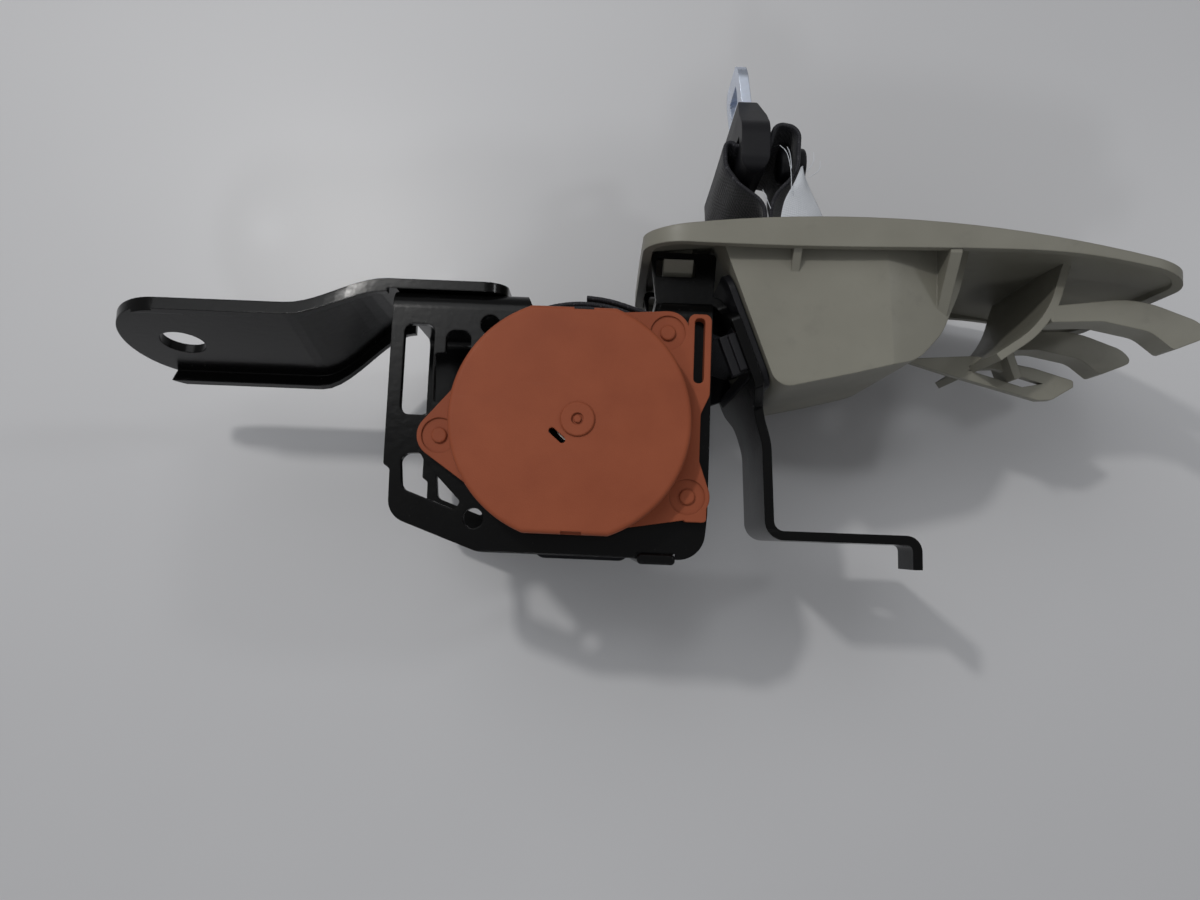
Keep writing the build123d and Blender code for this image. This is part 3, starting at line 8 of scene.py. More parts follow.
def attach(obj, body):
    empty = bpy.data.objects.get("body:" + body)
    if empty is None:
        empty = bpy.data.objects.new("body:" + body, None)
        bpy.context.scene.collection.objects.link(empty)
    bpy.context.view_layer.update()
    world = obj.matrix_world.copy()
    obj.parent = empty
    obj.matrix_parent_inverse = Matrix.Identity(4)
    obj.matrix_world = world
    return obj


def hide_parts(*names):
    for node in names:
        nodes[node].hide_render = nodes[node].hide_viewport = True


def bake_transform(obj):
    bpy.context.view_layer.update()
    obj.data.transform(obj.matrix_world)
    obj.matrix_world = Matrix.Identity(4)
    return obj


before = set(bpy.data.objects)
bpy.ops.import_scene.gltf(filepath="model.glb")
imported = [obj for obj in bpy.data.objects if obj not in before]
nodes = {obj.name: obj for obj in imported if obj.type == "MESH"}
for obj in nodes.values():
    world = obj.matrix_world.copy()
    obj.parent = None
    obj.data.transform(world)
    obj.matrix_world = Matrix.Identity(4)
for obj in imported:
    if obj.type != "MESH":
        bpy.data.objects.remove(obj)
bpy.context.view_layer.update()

mm = 0.001
print("frame loaded:", len(nodes), "nodes")


def placed(name, data):
    made = bpy.data.objects.new(name, data)
    bpy.context.scene.collection.objects.link(made)
    return made


def meshFrom(work, name, material=None):
    mesh = bpy.data.meshes.new(name)
    work.to_mesh(mesh)
    work.free()
    if material:
        mesh.materials.append(material)
    return mesh


# metres and degrees, with the lens and the sensor in millimetres
viewpoint = {"place": (0.00675, -0.0299, 0.315), "turn": 2.3, "tilt": 5.63, "lens": 27.99, "sensor": 36,
             "clip": (0.01, 20)}


def makeCamera():
    turn, tilt = math.radians(viewpoint["turn"]), math.radians(viewpoint["tilt"])
    right = Vector((math.cos(turn), math.sin(turn), 0))
    up = Vector((-math.sin(turn) * math.cos(tilt), math.cos(turn) * math.cos(tilt), math.sin(tilt)))
    back = right.cross(up)
    camera = placed("camera", bpy.data.cameras.new("camera"))
    camera.data.sensor_width = viewpoint["sensor"]
    camera.data.lens = viewpoint["lens"]
    camera.data.clip_start, camera.data.clip_end = viewpoint["clip"]
    turned = Matrix((right, up, back)).transposed().to_4x4()
    camera.matrix_world = Matrix.Translation(viewpoint["place"]) @ turned
    bpy.context.scene.camera = camera


lampAim = (0.03, 0.02, 0.03)
lamps = [
    {"name": "key", "place": (-0.235, 0.232, 0.571), "size": 0.035, "power": 0.95, "tint": (1.0, 0.985, 0.96)},
    {"name": "second", "place": (0.95, 0.42, 0.95), "size": 0.16, "power": 1.3, "tint": (0.96, 0.98, 1.0)},
    {"name": "third", "place": (-0.12, -0.85, 1.0), "size": 0.16, "power": 1.2, "tint": (0.96, 0.98, 1.0)},
    {"name": "high", "place": (-0.5, 0.9, 1.6), "size": 1.4, "power": 7.0, "tint": (0.97, 0.985, 1.0)},
]


def makeLamps():
    for lamp in lamps:
        data = bpy.data.lights.new(lamp["name"], "AREA")
        data.shape = "DISK"
        data.size = lamp["size"]
        data.energy = lamp["power"]
        data.color = lamp["tint"]
        made = placed(lamp["name"], data)
        made.location = lamp["place"]
        aim = Vector(lampAim) - made.location
        made.rotation_mode = "QUATERNION"
        made.rotation_quaternion = aim.to_track_quat("-Z", "Y")


# a node's output that can be used in sums
class Value:
    def __init__(self, tree, socket):
        self.tree = tree
        self.socket = socket

    def sum(self, operation, *others, turned=False):
        terms = [self, *others]
        if turned:
            terms.reverse()
        return self.tree.node("ShaderNodeMath", {"operation": operation}, dict(enumerate(terms))).out()

    def __add__(self, other):
        return self.sum("ADD", other)

    def __radd__(self, other):
        return self.sum("ADD", other, turned=True)

    def __sub__(self, other):
        return self.sum("SUBTRACT", other)

    def __rsub__(self, other):
        return self.sum("SUBTRACT", other, turned=True)

    def __mul__(self, other):
        return self.sum("MULTIPLY", other)

    def __rmul__(self, other):
        return self.sum("MULTIPLY", other, turned=True)

    def __truediv__(self, other):
        return self.sum("DIVIDE", other)

    def __rtruediv__(self, other):
        return self.sum("DIVIDE", other, turned=True)

    def sine(self):
        return self.sum("SINE")

    def size(self):
        return self.sum("ABSOLUTE")

    def floor(self):
        return self.sum("FLOOR")

    def over(self, step):
        return self.sum("FLOORED_MODULO", step)

    # 0 below low, 1 above high and a straight line between
    def rise(self, low, high):
        values = {"Value": self, "From Min": low, "From Max": high, "To Min": 0.0, "To Max": 1.0}
        return self.tree.node("ShaderNodeMapRange", {"clamp": True}, values).out()


class Made:
    def __init__(self, tree, node):
        self.tree = tree
        self.node = node

    def out(self, name=0):
        return Value(self.tree, self.node.outputs[name])


class Tree:
    def __init__(self, nodeTree):
        self.nodeTree = nodeTree

    # any node, with its settings first and then the values or links of its sockets
    def node(self, kind, settings=None, values=None):
        node = self.nodeTree.nodes.new(kind)
        for name, setting in (settings or {}).items():
            setattr(node, name, setting)
        for name, value in (values or {}).items():
            if isinstance(value, Value):
                self.nodeTree.links.new(value.socket, node.inputs[name])
            else:
                node.inputs[name].default_value = value
        return Made(self, node)


class Finish(Tree):
    def __init__(self, name, **sockets):
        self.material = bpy.data.materials.new(name)
        self.material.use_nodes = True
        super().__init__(self.material.node_tree)
        self.nodeTree.nodes.clear()
        self.shader = self.node("ShaderNodeBsdfPrincipled", {}, sockets)
        self.node("ShaderNodeOutputMaterial", {}, {"Surface": self.shader.out()})
        self.place = self.node("ShaderNodeTexCoord").out("Object")

    def give(self, socket, value):
        self.nodeTree.links.new(value.socket, self.shader.node.inputs[socket])

    def noise(self, scale, detail=2.0, roughness=0.5, along=None):
        values = {"Vector": along or self.place, "Scale": scale, "Detail": detail, "Roughness": roughness}
        return self.node("ShaderNodeTexNoise", {}, values).out("Fac")

    def stretched(self, scale, turn=(0, 0, 0)):
        values = {"Vector": self.place, "Scale": scale, "Rotation": turn}
        return self.node("ShaderNodeMapping", {}, values).out()

    def mix(self, factor, first, second):
        settings = {"data_type": "RGBA", "clamp_factor": True}
        return self.node("ShaderNodeMix", settings, {0: factor, 6: first, 7: second}).out(2)

    def split(self, vector):
        parts = self.node("ShaderNodeSeparateXYZ", {}, {0: vector})
        return parts.out(0), parts.out(1), parts.out(2)

    # edges look eased by a radius, and the height roughens what lies between them
    def relief(self, height, depth, strength=1.0, ease=0.0):
        values = {"Height": height, "Distance": depth, "Strength": strength}
        if ease:
            values["Normal"] = self.node("ShaderNodeBevel", {"samples": 4}, {"Radius": ease}).out()
        self.give("Normal", self.node("ShaderNodeBump", {}, values).out())


def grey(level, tint=(1.0, 1.0, 1.0)):
    return (level * tint[0], level * tint[1], level * tint[2], 1.0)


coatedSteel = {"black": 0.0022, "worn": 0.022, "specks": 0.35, "scuffs": 0.5, "rough": 0.15, "peel": 520,
               "depth": 0.00005, "ease": 0.0005}


def makeCoatedSteel():
    shine = {"Coat Weight": 0.06, "Coat Roughness": 0.08, "Specular IOR Level": 0.18}
    finish = Finish("black_steel", **shine)
    patches = finish.noise(55, 4, 0.6)
    specks = finish.noise(1500, 2, 0.6).rise(0.66, 0.78)
    scuffs = finish.noise(1, 3, 0.6, finish.stretched((35, 700, 180), (0.3, 0.2, 0.5))).rise(0.66, 0.72)
    marks = specks * coatedSteel["specks"] + scuffs * patches.rise(0.5, 0.62) * coatedSteel["scuffs"]
    black, worn = grey(coatedSteel["black"], (1, 1, 1.04)), grey(coatedSteel["worn"], (1, 1, 1.02))
    finish.give("Base Color", finish.mix(marks, black, worn))
    finish.give("Roughness", coatedSteel["rough"] + patches * 0.12 + marks * 0.25)
    peel = finish.noise(coatedSteel["peel"], 2, 0.5)
    finish.relief(peel, coatedSteel["depth"], 0.7, coatedSteel["ease"])
    return finish.material


orangeCover = {"colour": (0.29, 0.076, 0.034, 1), "deep": (0.25, 0.062, 0.027, 1), "rough": 0.52, "spark": 2600,
               "depth": 0.00005, "ease": 0.0005}


def makeOrangeCover():
    finish = Finish("orange_plastic", **{"Specular IOR Level": 0.18})
    cloud = finish.noise(70, 4, 0.55)
    spark = finish.noise(orangeCover["spark"], 2, 0.6)
    rubbed = finish.noise(1, 3, 0.6, finish.stretched((60, 500, 100), (0, 0, 0.7))).rise(0.62, 0.74)
    finish.give("Base Color", finish.mix(cloud.rise(0.3, 0.7), orangeCover["deep"], orangeCover["colour"]))
    finish.give("Roughness", orangeCover["rough"] + cloud * 0.10 - rubbed * 0.12)
    finish.relief(spark + cloud * 2.0, orangeCover["depth"], 0.6, orangeCover["ease"])
    return finish.material


greyTrim = {"colour": (0.235, 0.228, 0.190, 1), "deep": (0.195, 0.188, 0.155, 1), "smudge": 0.15, "rough": 0.42,
            "grain": 1000, "depth": 0.00010, "ease": 0.0005, "domeCentre": (0.075, -0.293, 0.047),
            "inside": 0.3492, "outside": 0.3499}


def makeGreyTrim():
    # the dome's outer skin is grained, and its back and ribs are as the mould left them
    finish = Finish("trim_plastic", **{"Specular IOR Level": 0.4})
    ends = {0: finish.place, 1: greyTrim["domeCentre"]}
    offset = finish.node("ShaderNodeVectorMath", {"operation": "SUBTRACT"}, ends).out()
    reach = finish.node("ShaderNodeVectorMath", {"operation": "LENGTH"}, {0: offset}).out("Value")
    skin = reach.rise(greyTrim["inside"], greyTrim["outside"])
    cloud = finish.noise(30, 4, 0.55)
    fine = finish.noise(1800, 2, 0.6)
    pebbles = {"Vector": finish.place, "Scale": greyTrim["grain"]}
    cells = finish.node("ShaderNodeTexVoronoi", {"feature": "SMOOTH_F1"}, pebbles).out("Distance")
    flow = finish.noise(1, 2, 0.5, finish.stretched((25, 130, 25), (0.1, 0.2, 0.3))).rise(0.35, 0.7)
    smudge = finish.noise(140, 3, 0.65).rise(0.58, 0.72)
    base = finish.mix(cloud.rise(0.3, 0.7), greyTrim["deep"], greyTrim["colour"])
    soiled = grey(greyTrim["smudge"], (1.0, 0.94, 0.82))
    finish.give("Base Color", finish.mix(smudge * (1 - skin) * 0.25, base, soiled))
    finish.give("Roughness", greyTrim["rough"] + skin * 0.12 + flow * 0.10)
    height = cells * skin * 1.4 + fine * 0.25 + flow * (1 - skin) * 1.2
    finish.relief(height, greyTrim["depth"], 0.55, greyTrim["ease"])
    return finish.material


darkPlastic = {"colour": (0.007, 0.007, 0.009, 1), "dust": (0.024, 0.024, 0.027, 1), "rough": 0.40, "grain": 1900,
               "depth": 0.00006, "ease": 0.0005}


def makeDarkPlastic():
    finish = Finish("black_plastic", **{"Specular IOR Level": 0.24})
    cloud = finish.noise(90, 4, 0.6)
    grain = finish.noise(darkPlastic["grain"], 3, 0.6)
    dust = finish.noise(700, 4, 0.7).rise(0.62, 0.8)
    finish.give("Base Color", finish.mix(dust * 0.45, darkPlastic["colour"], darkPlastic["dust"]))
    finish.give("Roughness", darkPlastic["rough"] + cloud * 0.16 + dust * 0.1)
    finish.relief(grain, darkPlastic["depth"], 0.6, darkPlastic["ease"])
    return finish.material


def makeMetal(name, colour, rough, brush):
    finish = Finish(name, Metallic=1.0)
    lines = finish.noise(1, 3, 0.6, finish.stretched(brush))
    stain = finish.noise(180, 4, 0.6)
    finish.give("Base Color", finish.mix(stain.rise(0.3, 0.75) * 0.5, colour, grey(colour[0] * 0.6)))
    finish.give("Roughness", rough + lines * 0.14 + stain * 0.08)
    finish.relief(lines, 0.00002, 0.5, 0.0003)
    return finish.material


hiddenPlastic = {"white": (0.72, 0.71, 0.67, 1), "cream": (0.62, 0.60, 0.54, 1), "rough": 0.40, "depth": 0.00004,
                 "ease": 0.0003}


def makeWhitePlastic():
    finish = Finish("white_plastic", **{"Specular IOR Level": 0.4})
    cloud = finish.noise(110, 3, 0.5)
    finish.give("Base Color", finish.mix(cloud, hiddenPlastic["cream"], hiddenPlastic["white"]))
    finish.give("Roughness", hiddenPlastic["rough"] + cloud * 0.15)
    finish.relief(finish.noise(1600, 2, 0.5), hiddenPlastic["depth"], 0.5, hiddenPlastic["ease"])
    return finish.material


# the weave's steps are in metres, across the belt and along it; dark and light are the colours painted into the
# weave's hollows and onto its ridges, as painted shade
belt = {"dark": (0.010, 0.010, 0.012, 1), "light": (0.027, 0.027, 0.034, 1), "fleck": (0.16, 0.16, 0.18, 1),
        "twill": 0.0017, "panel": 0.0094, "pick": 0.00062, "end": 0.00085, "lay": 0.00124,
        "middle": 0.0235, "rim": (0.0214, 0.0220), "depth": 0.00017}


# the twill turns about at each panel's edge, and the rims are plain
def weave(finish, across, along):
    panel = (across / belt["panel"]).floor()
    way = 1 - 2 * panel.over(2)
    ridge = ((along + way * across * 0.75) / belt["twill"] * math.tau).sine() * 0.5 + 0.5
    picks = (along / belt["pick"] * math.tau).sine() * 0.5 + 0.5
    ends = ((across / belt["end"] + along / belt["lay"]) * math.tau).sine() * 0.5 + 0.5
    rim = (across - belt["middle"]).size().rise(*belt["rim"])
    body = ridge * 0.45 + picks * ends * 0.65
    height = body * (1 - rim) + (0.35 + picks * 0.5) * rim
    fuzz = finish.noise(900, 3, 0.7)
    flecks = finish.noise(1500, 2, 0.6).rise(0.60, 0.72)
    # the weave's ridges are painted lighter and its hollows darker, a painted shade of the weave's relief, mixed
    # with random fuzz in the yarn's own tone
    paintedShadeAndFuzz = finish.mix((height * 0.55 + fuzz * 0.50).rise(0.1, 1.1), belt["dark"], belt["light"])
    finish.give("Base Color", finish.mix(flecks * 0.45, paintedShadeAndFuzz, belt["fleck"]))
    finish.give("Roughness", 0.78 - height * 0.22)
    finish.relief(height + fuzz * 0.40, belt["depth"], 0.8)


def clothFinish(name):
    return Finish(name, **{"Sheen Weight": 0.12, "Sheen Roughness": 0.4, "Specular IOR Level": 0.3})


# across and along the cloth, from its own map
def clothPlace(finish):
    return finish.split(finish.node("ShaderNodeUVMap", {"uv_map": "UVMap"}).out())[:2]


def makeBeltCloth():
    finish = clothFinish("belt_fabric")
    weave(finish, *clothPlace(finish))
    return finish.material


# the run that pays out takes its weave from where it is, so the weave keeps its size as the run grows
def makePayoutCloth():
    finish = clothFinish("belt_fabric_payout")
    along, height = finish.split(finish.place)[1:]
    weave(finish, height - belt["middle"], along)
    return finish.material


# grey is the painted shade in the weave's hollows and white the rib tops as lit
labelCotton = {"grey": (0.50, 0.53, 0.58, 1), "white": (0.74, 0.76, 0.80, 1), "rib": 0.0005, "end": 0.0006,
               "depth": 0.00012}


def makeLabelCloth():
    finish = Finish("label_fabric", **{"Sheen Weight": 0.2, "Specular IOR Level": 0.3})
    across, along = clothPlace(finish)
    ribs = (along / labelCotton["rib"] * math.tau).sine() * 0.5 + 0.5
    ends = (across / labelCotton["end"] * math.tau).sine() * 0.5 + 0.5
    cloud = finish.noise(400, 3, 0.6)
    height = ribs * 0.6 + ends * 0.4
    # the ribs' tops are painted whiter and their hollows greyer, a painted shade of the weave's relief, with a
    # random cloud in the cloth's own tone
    finish.give("Base Color", finish.mix(height * 0.5 + cloud * 0.5, labelCotton["grey"], labelCotton["white"]))
    finish.give("Roughness", 0.75 + cloud * 0.15)
    finish.relief(height, labelCotton["depth"], 0.7)
    return finish.material


sewingThread = {"dark": (0.020, 0.020, 0.023, 1), "light": (0.060, 0.060, 0.068, 1), "twist": 3200,
                "depth": 0.0001}


def makeThread():
    finish = Finish("thread", **{"Sheen Weight": 0.2})
    twist = finish.noise(sewingThread["twist"], 2, 0.5)
    finish.give("Base Color", finish.mix(twist, sewingThread["dark"], sewingThread["light"]))
    finish.give("Roughness", 0.6 + twist * 0.2)
    finish.relief(twist, sewingThread["depth"], 0.6)
    return finish.material


blackSteel = makeCoatedSteel()
orange = makeOrangeCover()
trim = makeGreyTrim()
blackPlastic = makeDarkPlastic()
whitePlastic = makeWhitePlastic()
beltCloth = makeBeltCloth()
payoutCloth = makePayoutCloth()
labelCloth = makeLabelCloth()
thread = makeThread()
bladeSteel = makeMetal("blade_steel", (0.74, 0.81, 0.95, 1), 0.18, (300, 60, 2200))
plainSteel = makeMetal("steel", (0.46, 0.46, 0.47, 1), 0.26, (900, 900, 60))
springSteel = makeMetal("spring_steel", (0.30, 0.31, 0.34, 1), 0.24, (300, 300, 2500))
dieCast = makeMetal("die_cast", (0.52, 0.52, 0.53, 1), 0.42, (260, 260, 260))
print("finishes made")

wears = {
    blackSteel: ["frame", "tie_bar", "mounting_arm", "trim_bracket", "anchor_plate"],
    orange: ["spring_cover", "cover_pins"],
    trim: ["bezel"],
    blackPlastic: ["webbing_guide", "mechanism_cover", "tongue_cover", "stop_button", "spring_base"],
    whitePlastic: ["sensor_housing", "sensor_lever", "sensor_wheel", "spool_bush", "spring_arbor"],
    plainSteel: ["lock_cover_screws", "ratchet_wheel", "locking_pawl", "pawl_pin", "lock_plate",
                 "webbing_pin", "torsion_bar", "sensor_ball", "inertia_disc"],
    springSteel: ["mainspring", "pawl_spring"],
    dieCast: ["spool"],
    bladeSteel: ["tongue_blade"],
    beltCloth: ["webbing_roll", "webbing_lead", "webbing_strand", "webbing_loop"],
    labelCloth: ["belt_label"],
}
for material, names in wears.items():
    for name in names:
        nodes[name].data.materials.clear()
        nodes[name].data.materials.append(material)


# points along a line of corners, each rounded to its radius, in millimetres
def roundedPath(corners, radii, step=1.5):
    spots = [Vector(corner) for corner in corners]
    path = [spots[0]]
    for before, spot, after, radius in zip(spots, spots[1:], spots[2:], radii):
        wayIn, wayOut = (spot - before).normalized(), (after - spot).normalized()
        turn = wayIn.angle(wayOut)
        reach = radius * math.tan(turn / 2)
        start, end = spot - wayIn * reach, spot + wayOut * reach
        side = Vector((-wayIn.y, wayIn.x)) * (1 if wayIn.x * wayOut.y - wayIn.y * wayOut.x > 0 else -1)
        centre = start + side * radius
        path.append(start)
        steps = max(2, math.ceil(math.degrees(turn) / 7))
        for i in range(1, steps):
            share = i / steps
            arm = (start - centre).normalized().slerp((end - centre).normalized(), share)
            path.append(centre + arm * radius)
        path.append(end)
    path.append(spots[-1])
    dense = [path[0]]
    for a, b in zip(path, path[1:]):
        pieces = max(1, math.ceil((b - a).length / step))
        dense += [a.lerp(b, (i + 1) / pieces) for i in range(pieces) if (b - a).length > 1e-6]
    return dense


def arcPath(centre, radius, start, end, steps=40):
    turns = [math.radians(start + (end - start) * i / steps) for i in range(steps + 1)]
    return [Vector((centre[0] + radius * math.cos(turn), centre[1] + radius * math.sin(turn))) for turn in turns]


# heights of the belt's two edges and its thickness, in millimetres
beltSize = {"far": 23.5, "near": 70.5, "thick": 1.2, "steps": 12}


# one turn round the belt's section, as distance off the path and height
def beltSection():
    far, near, steps = beltSize["far"], beltSize["near"], beltSize["steps"]
    half = beltSize["thick"] / 2
    flat = near - far - beltSize["thick"]

    def edge(middle, degrees):
        return [(half * math.cos(math.radians(a)), middle + half * math.sin(math.radians(a))) for a in degrees]

    ring = [(half, far + half + flat * i / steps) for i in range(steps + 1)]
    ring += edge(near - half, (45, 90, 135))
    ring += [(-half, near - half - flat * i / steps) for i in range(steps + 1)]
    ring += edge(far + half, (225, 270, 315))
    return ring


# sway moves a point by where it is on the path and how high it is
def beltMesh(name, path, material, sway=None):
    ring = beltSection()
    far, wide = beltSize["far"], beltSize["near"] - beltSize["far"]
    work = bmesh.new()
    uv = work.loops.layers.uv.new("UVMap")
    lengths = [0.0]
    for a, b in zip(path, path[1:]):
        lengths.append(lengths[-1] + (b - a).length)
    rings = []
    for i, spot in enumerate(path):
        ahead, behind = path[min(i + 1, len(path) - 1)], path[max(i - 1, 0)]
        way = (ahead - behind).normalized()
        side = Vector((way.y, -way.x))
        row = []
        for off, height in ring:
            at = Vector((*(spot + side * off), height))
            if sway:
                at += sway(spot, lengths[i], (height - far) / wide)
            row.append(work.verts.new(at * mm))
        rings.append(row)
    count = len(ring)
    for i in range(len(path) - 1):
        for j in range(count):
            k = (j + 1) % count
            face = work.faces.new((rings[i][j], rings[i + 1][j], rings[i + 1][k], rings[i][k]))
            for loop, (row, column) in zip(face.loops, ((i, j), (i + 1, j), (i + 1, k), (i, k))):
                loop[uv].uv = ((ring[column][1] - far) * mm, lengths[row] * mm)
            face.smooth = True
    work.faces.new(rings[0])
    work.faces.new(rings[-1][::-1])
    bmesh.ops.recalc_face_normals(work, faces=work.faces)
    return placed(name, meshFrom(work, name, material))


# off the roll and over the guide
leadRoute = {"corners": [(0.63, 35.10), (5.97, 34.91), (55.32, 19.45), (48.83, 44.0)], "radii": [35.1, 7.5]}
lead = beltMesh("belt_lead", roundedPath(leadRoute["corners"], leadRoute["radii"]), beltCloth)
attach(lead, "frame")
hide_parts("webbing_lead")

# the run that grows as the belt is drawn out
payoutRoute = {"corners": [(48.83, 44.0), (48.10, 57.0)], "step": 0.25}
payout = beltMesh("belt_payout", roundedPath(payoutRoute["corners"], [], payoutRoute["step"]), payoutCloth)
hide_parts("webbing_strand")
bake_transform(payout)

# out of the mouth, through the tongue's slot, back down with the stop button, and round the anchor plate's bar
loopRoute = {
    "corners": [(48.1, 57.0), (47.4, 63.4), (40.4, 68.4), (36.7, 73.4), (36.6, 81.0), (39.8, 79.0), (48.7, 79.0),
                (50.2, 85.9), (56.8, 84.8), (56.4, 72.0), (49.0, 64.2), (49.6, 57.5), (51.4, 50.5), (55.45, 46.0),
                (59.03, 35.41)],
    "radii": [6, 7, 6, 1.4, 1.0, 1.7, 2.6, 3.4, 9, 10, 14, 6, 12], "step": 1.0,
    "bar": (60.294, 31.146), "barRadius": 3.55, "wrap": (143.6, 411.3),
    "back": [(60.17, 35.79), (56.67, 46.4), (55.45, 50.2)], "backRadius": 20,
}
loopPath = roundedPath(loopRoute["corners"], loopRoute["radii"], loopRoute["step"])
loopPath += arcPath(loopRoute["bar"], loopRoute["barRadius"], *loopRoute["wrap"])
loopPath += roundedPath(loopRoute["back"], [loopRoute["backRadius"]], loopRoute["step"])


# millimetres: where the lean starts, over what it grows, where it goes again, and over what on each run
lean = {"reach": 9.5, "start": 57.0, "grow": 5.0, "back": 61.5, "firstRun": 5.5, "lastRun": 18.0, "between": 48.5,
        "ripple": 0.10}
# the part of the loop inside the tongue's slot doesn't lean
tongueSlot = {"left": 39.5, "right": 49.5, "low": 72}


def softStep(share):
    return share * share * (3 - 2 * share)


# above the mouth the far edge of both runs leans to the right, and it is upright again at the tongue
def loopSway(spot, along, height):
    low = max(0.0, 1.0 - height)
    inSlot = tongueSlot["left"] < spot.x < tongueSlot["right"] and spot.y > tongueSlot["low"]
    if spot.y < lean["start"] or inSlot:
        return Vector((0, 0, 0))
    rise = min(1.0, (spot.y - lean["start"]) / lean["grow"])
    run = lean["firstRun"] if spot.x < lean["between"] else lean["lastRun"]
    fall = max(0.0, min(1.0, (spot.y - lean["back"]) / run))
    reach = lean["reach"] * softStep(rise) * (1 - softStep(fall))
    ripple = lean["ripple"] * math.sin(along * 0.9 + height * 5.0) * low * rise
    return Vector((reach * low + ripple, 0, 0))


loop = beltMesh("belt_loop", loopPath, beltCloth, loopSway)
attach(loop, "belt_end")
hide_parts("webbing_loop")
print("belt made")


# a tag sewn to the belt's edge that curls out over its right side, with its weave's width and length in metres
labelTag = {"left": [(57.0, 73.2, 71.3), (55.4, 69.0, 71.5), (52.7, 63.2, 71.6), (51.5, 56.0, 71.6)],
            "right": [(57.7, 73.0, 70.6), (60.6, 67.2, 68.6), (64.3, 60.6, 67.0), (67.4, 54.5, 66.4)],
            "thick": 0.35, "crown": 1.1, "crease": 0.35, "rows": 40, "columns": 22, "weave": (0.014, 0.019)}


# a point along a line of corners, rounded by weighing its neighbours
def eased(line, share):
    place = share * (len(line) - 1)
    index = min(int(place), len(line) - 2)
    around = [Vector(line[max(0, min(len(line) - 1, index + k))]) for k in (-1, 0, 1, 2)]
    t = place - index
    return 0.5 * (2 * around[1] + (around[2] - around[0]) * t
                  + (2 * around[0] - 5 * around[1] + 4 * around[2] - around[3]) * t ** 2
                  + (3 * around[1] - around[0] - 3 * around[2] + around[3]) * t ** 3)


def makeLabel():
    rows, columns = labelTag["rows"], labelTag["columns"]
    work = bmesh.new()
    uv = work.loops.layers.uv.new("UVMap")
    grid = []
    for i in range(rows + 1):
        left, right = eased(labelTag["left"], i / rows), eased(labelTag["right"], i / rows)
        row = []
        for j in range(columns + 1):
            across = j / columns
            at = left.lerp(right, across)
            at.z += labelTag["crown"] * math.sin(across * math.pi)
            at.z += labelTag["crease"] * math.sin(i / rows * 7.0 + across * 4.0) * across
            row.append(work.verts.new(at * mm))
        grid.append(row)
    for i in range(rows):
        for j in range(columns):
            face = work.faces.new((grid[i][j], grid[i + 1][j], grid[i + 1][j + 1], grid[i][j + 1]))
            for loop, (row, column) in zip(face.loops, ((i, j), (i + 1, j), (i + 1, j + 1), (i, j + 1))):
                loop[uv].uv = (labelTag["weave"][0] * column / columns, labelTag["weave"][1] * row / rows)
            face.smooth = True
    if sum(face.calc_area() * face.normal.z for face in work.faces) < 0:
        bmesh.ops.reverse_faces(work, faces=work.faces)
    work.normal_update()
    bmesh.ops.solidify(work, geom=work.faces[:], thickness=labelTag["thick"] * mm)
    bmesh.ops.recalc_face_normals(work, faces=work.faces)
    label = placed("label", meshFrom(work, "label", labelCloth))
    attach(label, "belt_end")
    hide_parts("belt_label")


makeLabel()


# a Geometry Nodes tree and its named inputs
def nodeTree(name, inputs):
    group = bpy.data.node_groups.new(name, "GeometryNodeTree")
    group.interface.new_socket("Geometry", in_out="OUTPUT", socket_type="NodeSocketGeometry")
    for label, kind, value in inputs:
        socket = group.interface.new_socket(label, in_out="INPUT", socket_type="NodeSocket" + kind)
        if value is not None:
            socket.default_value = value
    tree = Tree(group)
    source = tree.node("NodeGroupInput")
    return tree, {label: source.out(label) for label, kind, value in inputs}


def endTree(tree, geometry, material, smooth=True):
    solid = tree.node("GeometryNodeRealizeInstances", {}, {"Geometry": geometry}).out()
    if smooth:
        solid = tree.node("GeometryNodeSetShadeSmooth", {}, {"Geometry": solid}).out()
    painted = tree.node("GeometryNodeSetMaterial", {}, {"Geometry": solid, "Material": material}).out()
    tree.node("NodeGroupOutput", {}, {"Geometry": painted})


# runs the tree with these sizes and leaves a plain mesh
def grow(name, tree, sizes, source=None):
    made = placed(name, source or bpy.data.meshes.new(name))
    modifier = made.modifiers.new(name, "NODES")
    modifier.node_group = tree.nodeTree
    for item in tree.nodeTree.interface.items_tree:
        if item.in_out == "INPUT" and item.name in sizes:
            modifier[item.identifier] = sizes[item.name]
    graph = bpy.context.evaluated_depsgraph_get()
    mesh = bpy.data.meshes.new_from_object(made.evaluated_get(graph))
    made.modifiers.clear()
    made.data = mesh
    return made


beltMiddle = 0.047  # height of the belt's middle line, in metres
woundBelt = {"Turns": 16.9, "Inner Radius": 0.0129, "Outer Radius": 0.0336, "Width": 0.047, "Thickness": 0.0012}


# keeps a number on each point or corner under a name
def kept(tree, geometry, name, value, kind="FLOAT", domain="POINT"):
    settings = {"data_type": kind, "domain": domain}
    values = {"Geometry": geometry, "Name": name, "Value": value}
    return tree.node("GeometryNodeStoreNamedAttribute", settings, values).out()


def recalled(tree, name):
    return tree.node("GeometryNodeInputNamedAttribute", {"data_type": "FLOAT"}, {"Name": name}).out("Attribute")


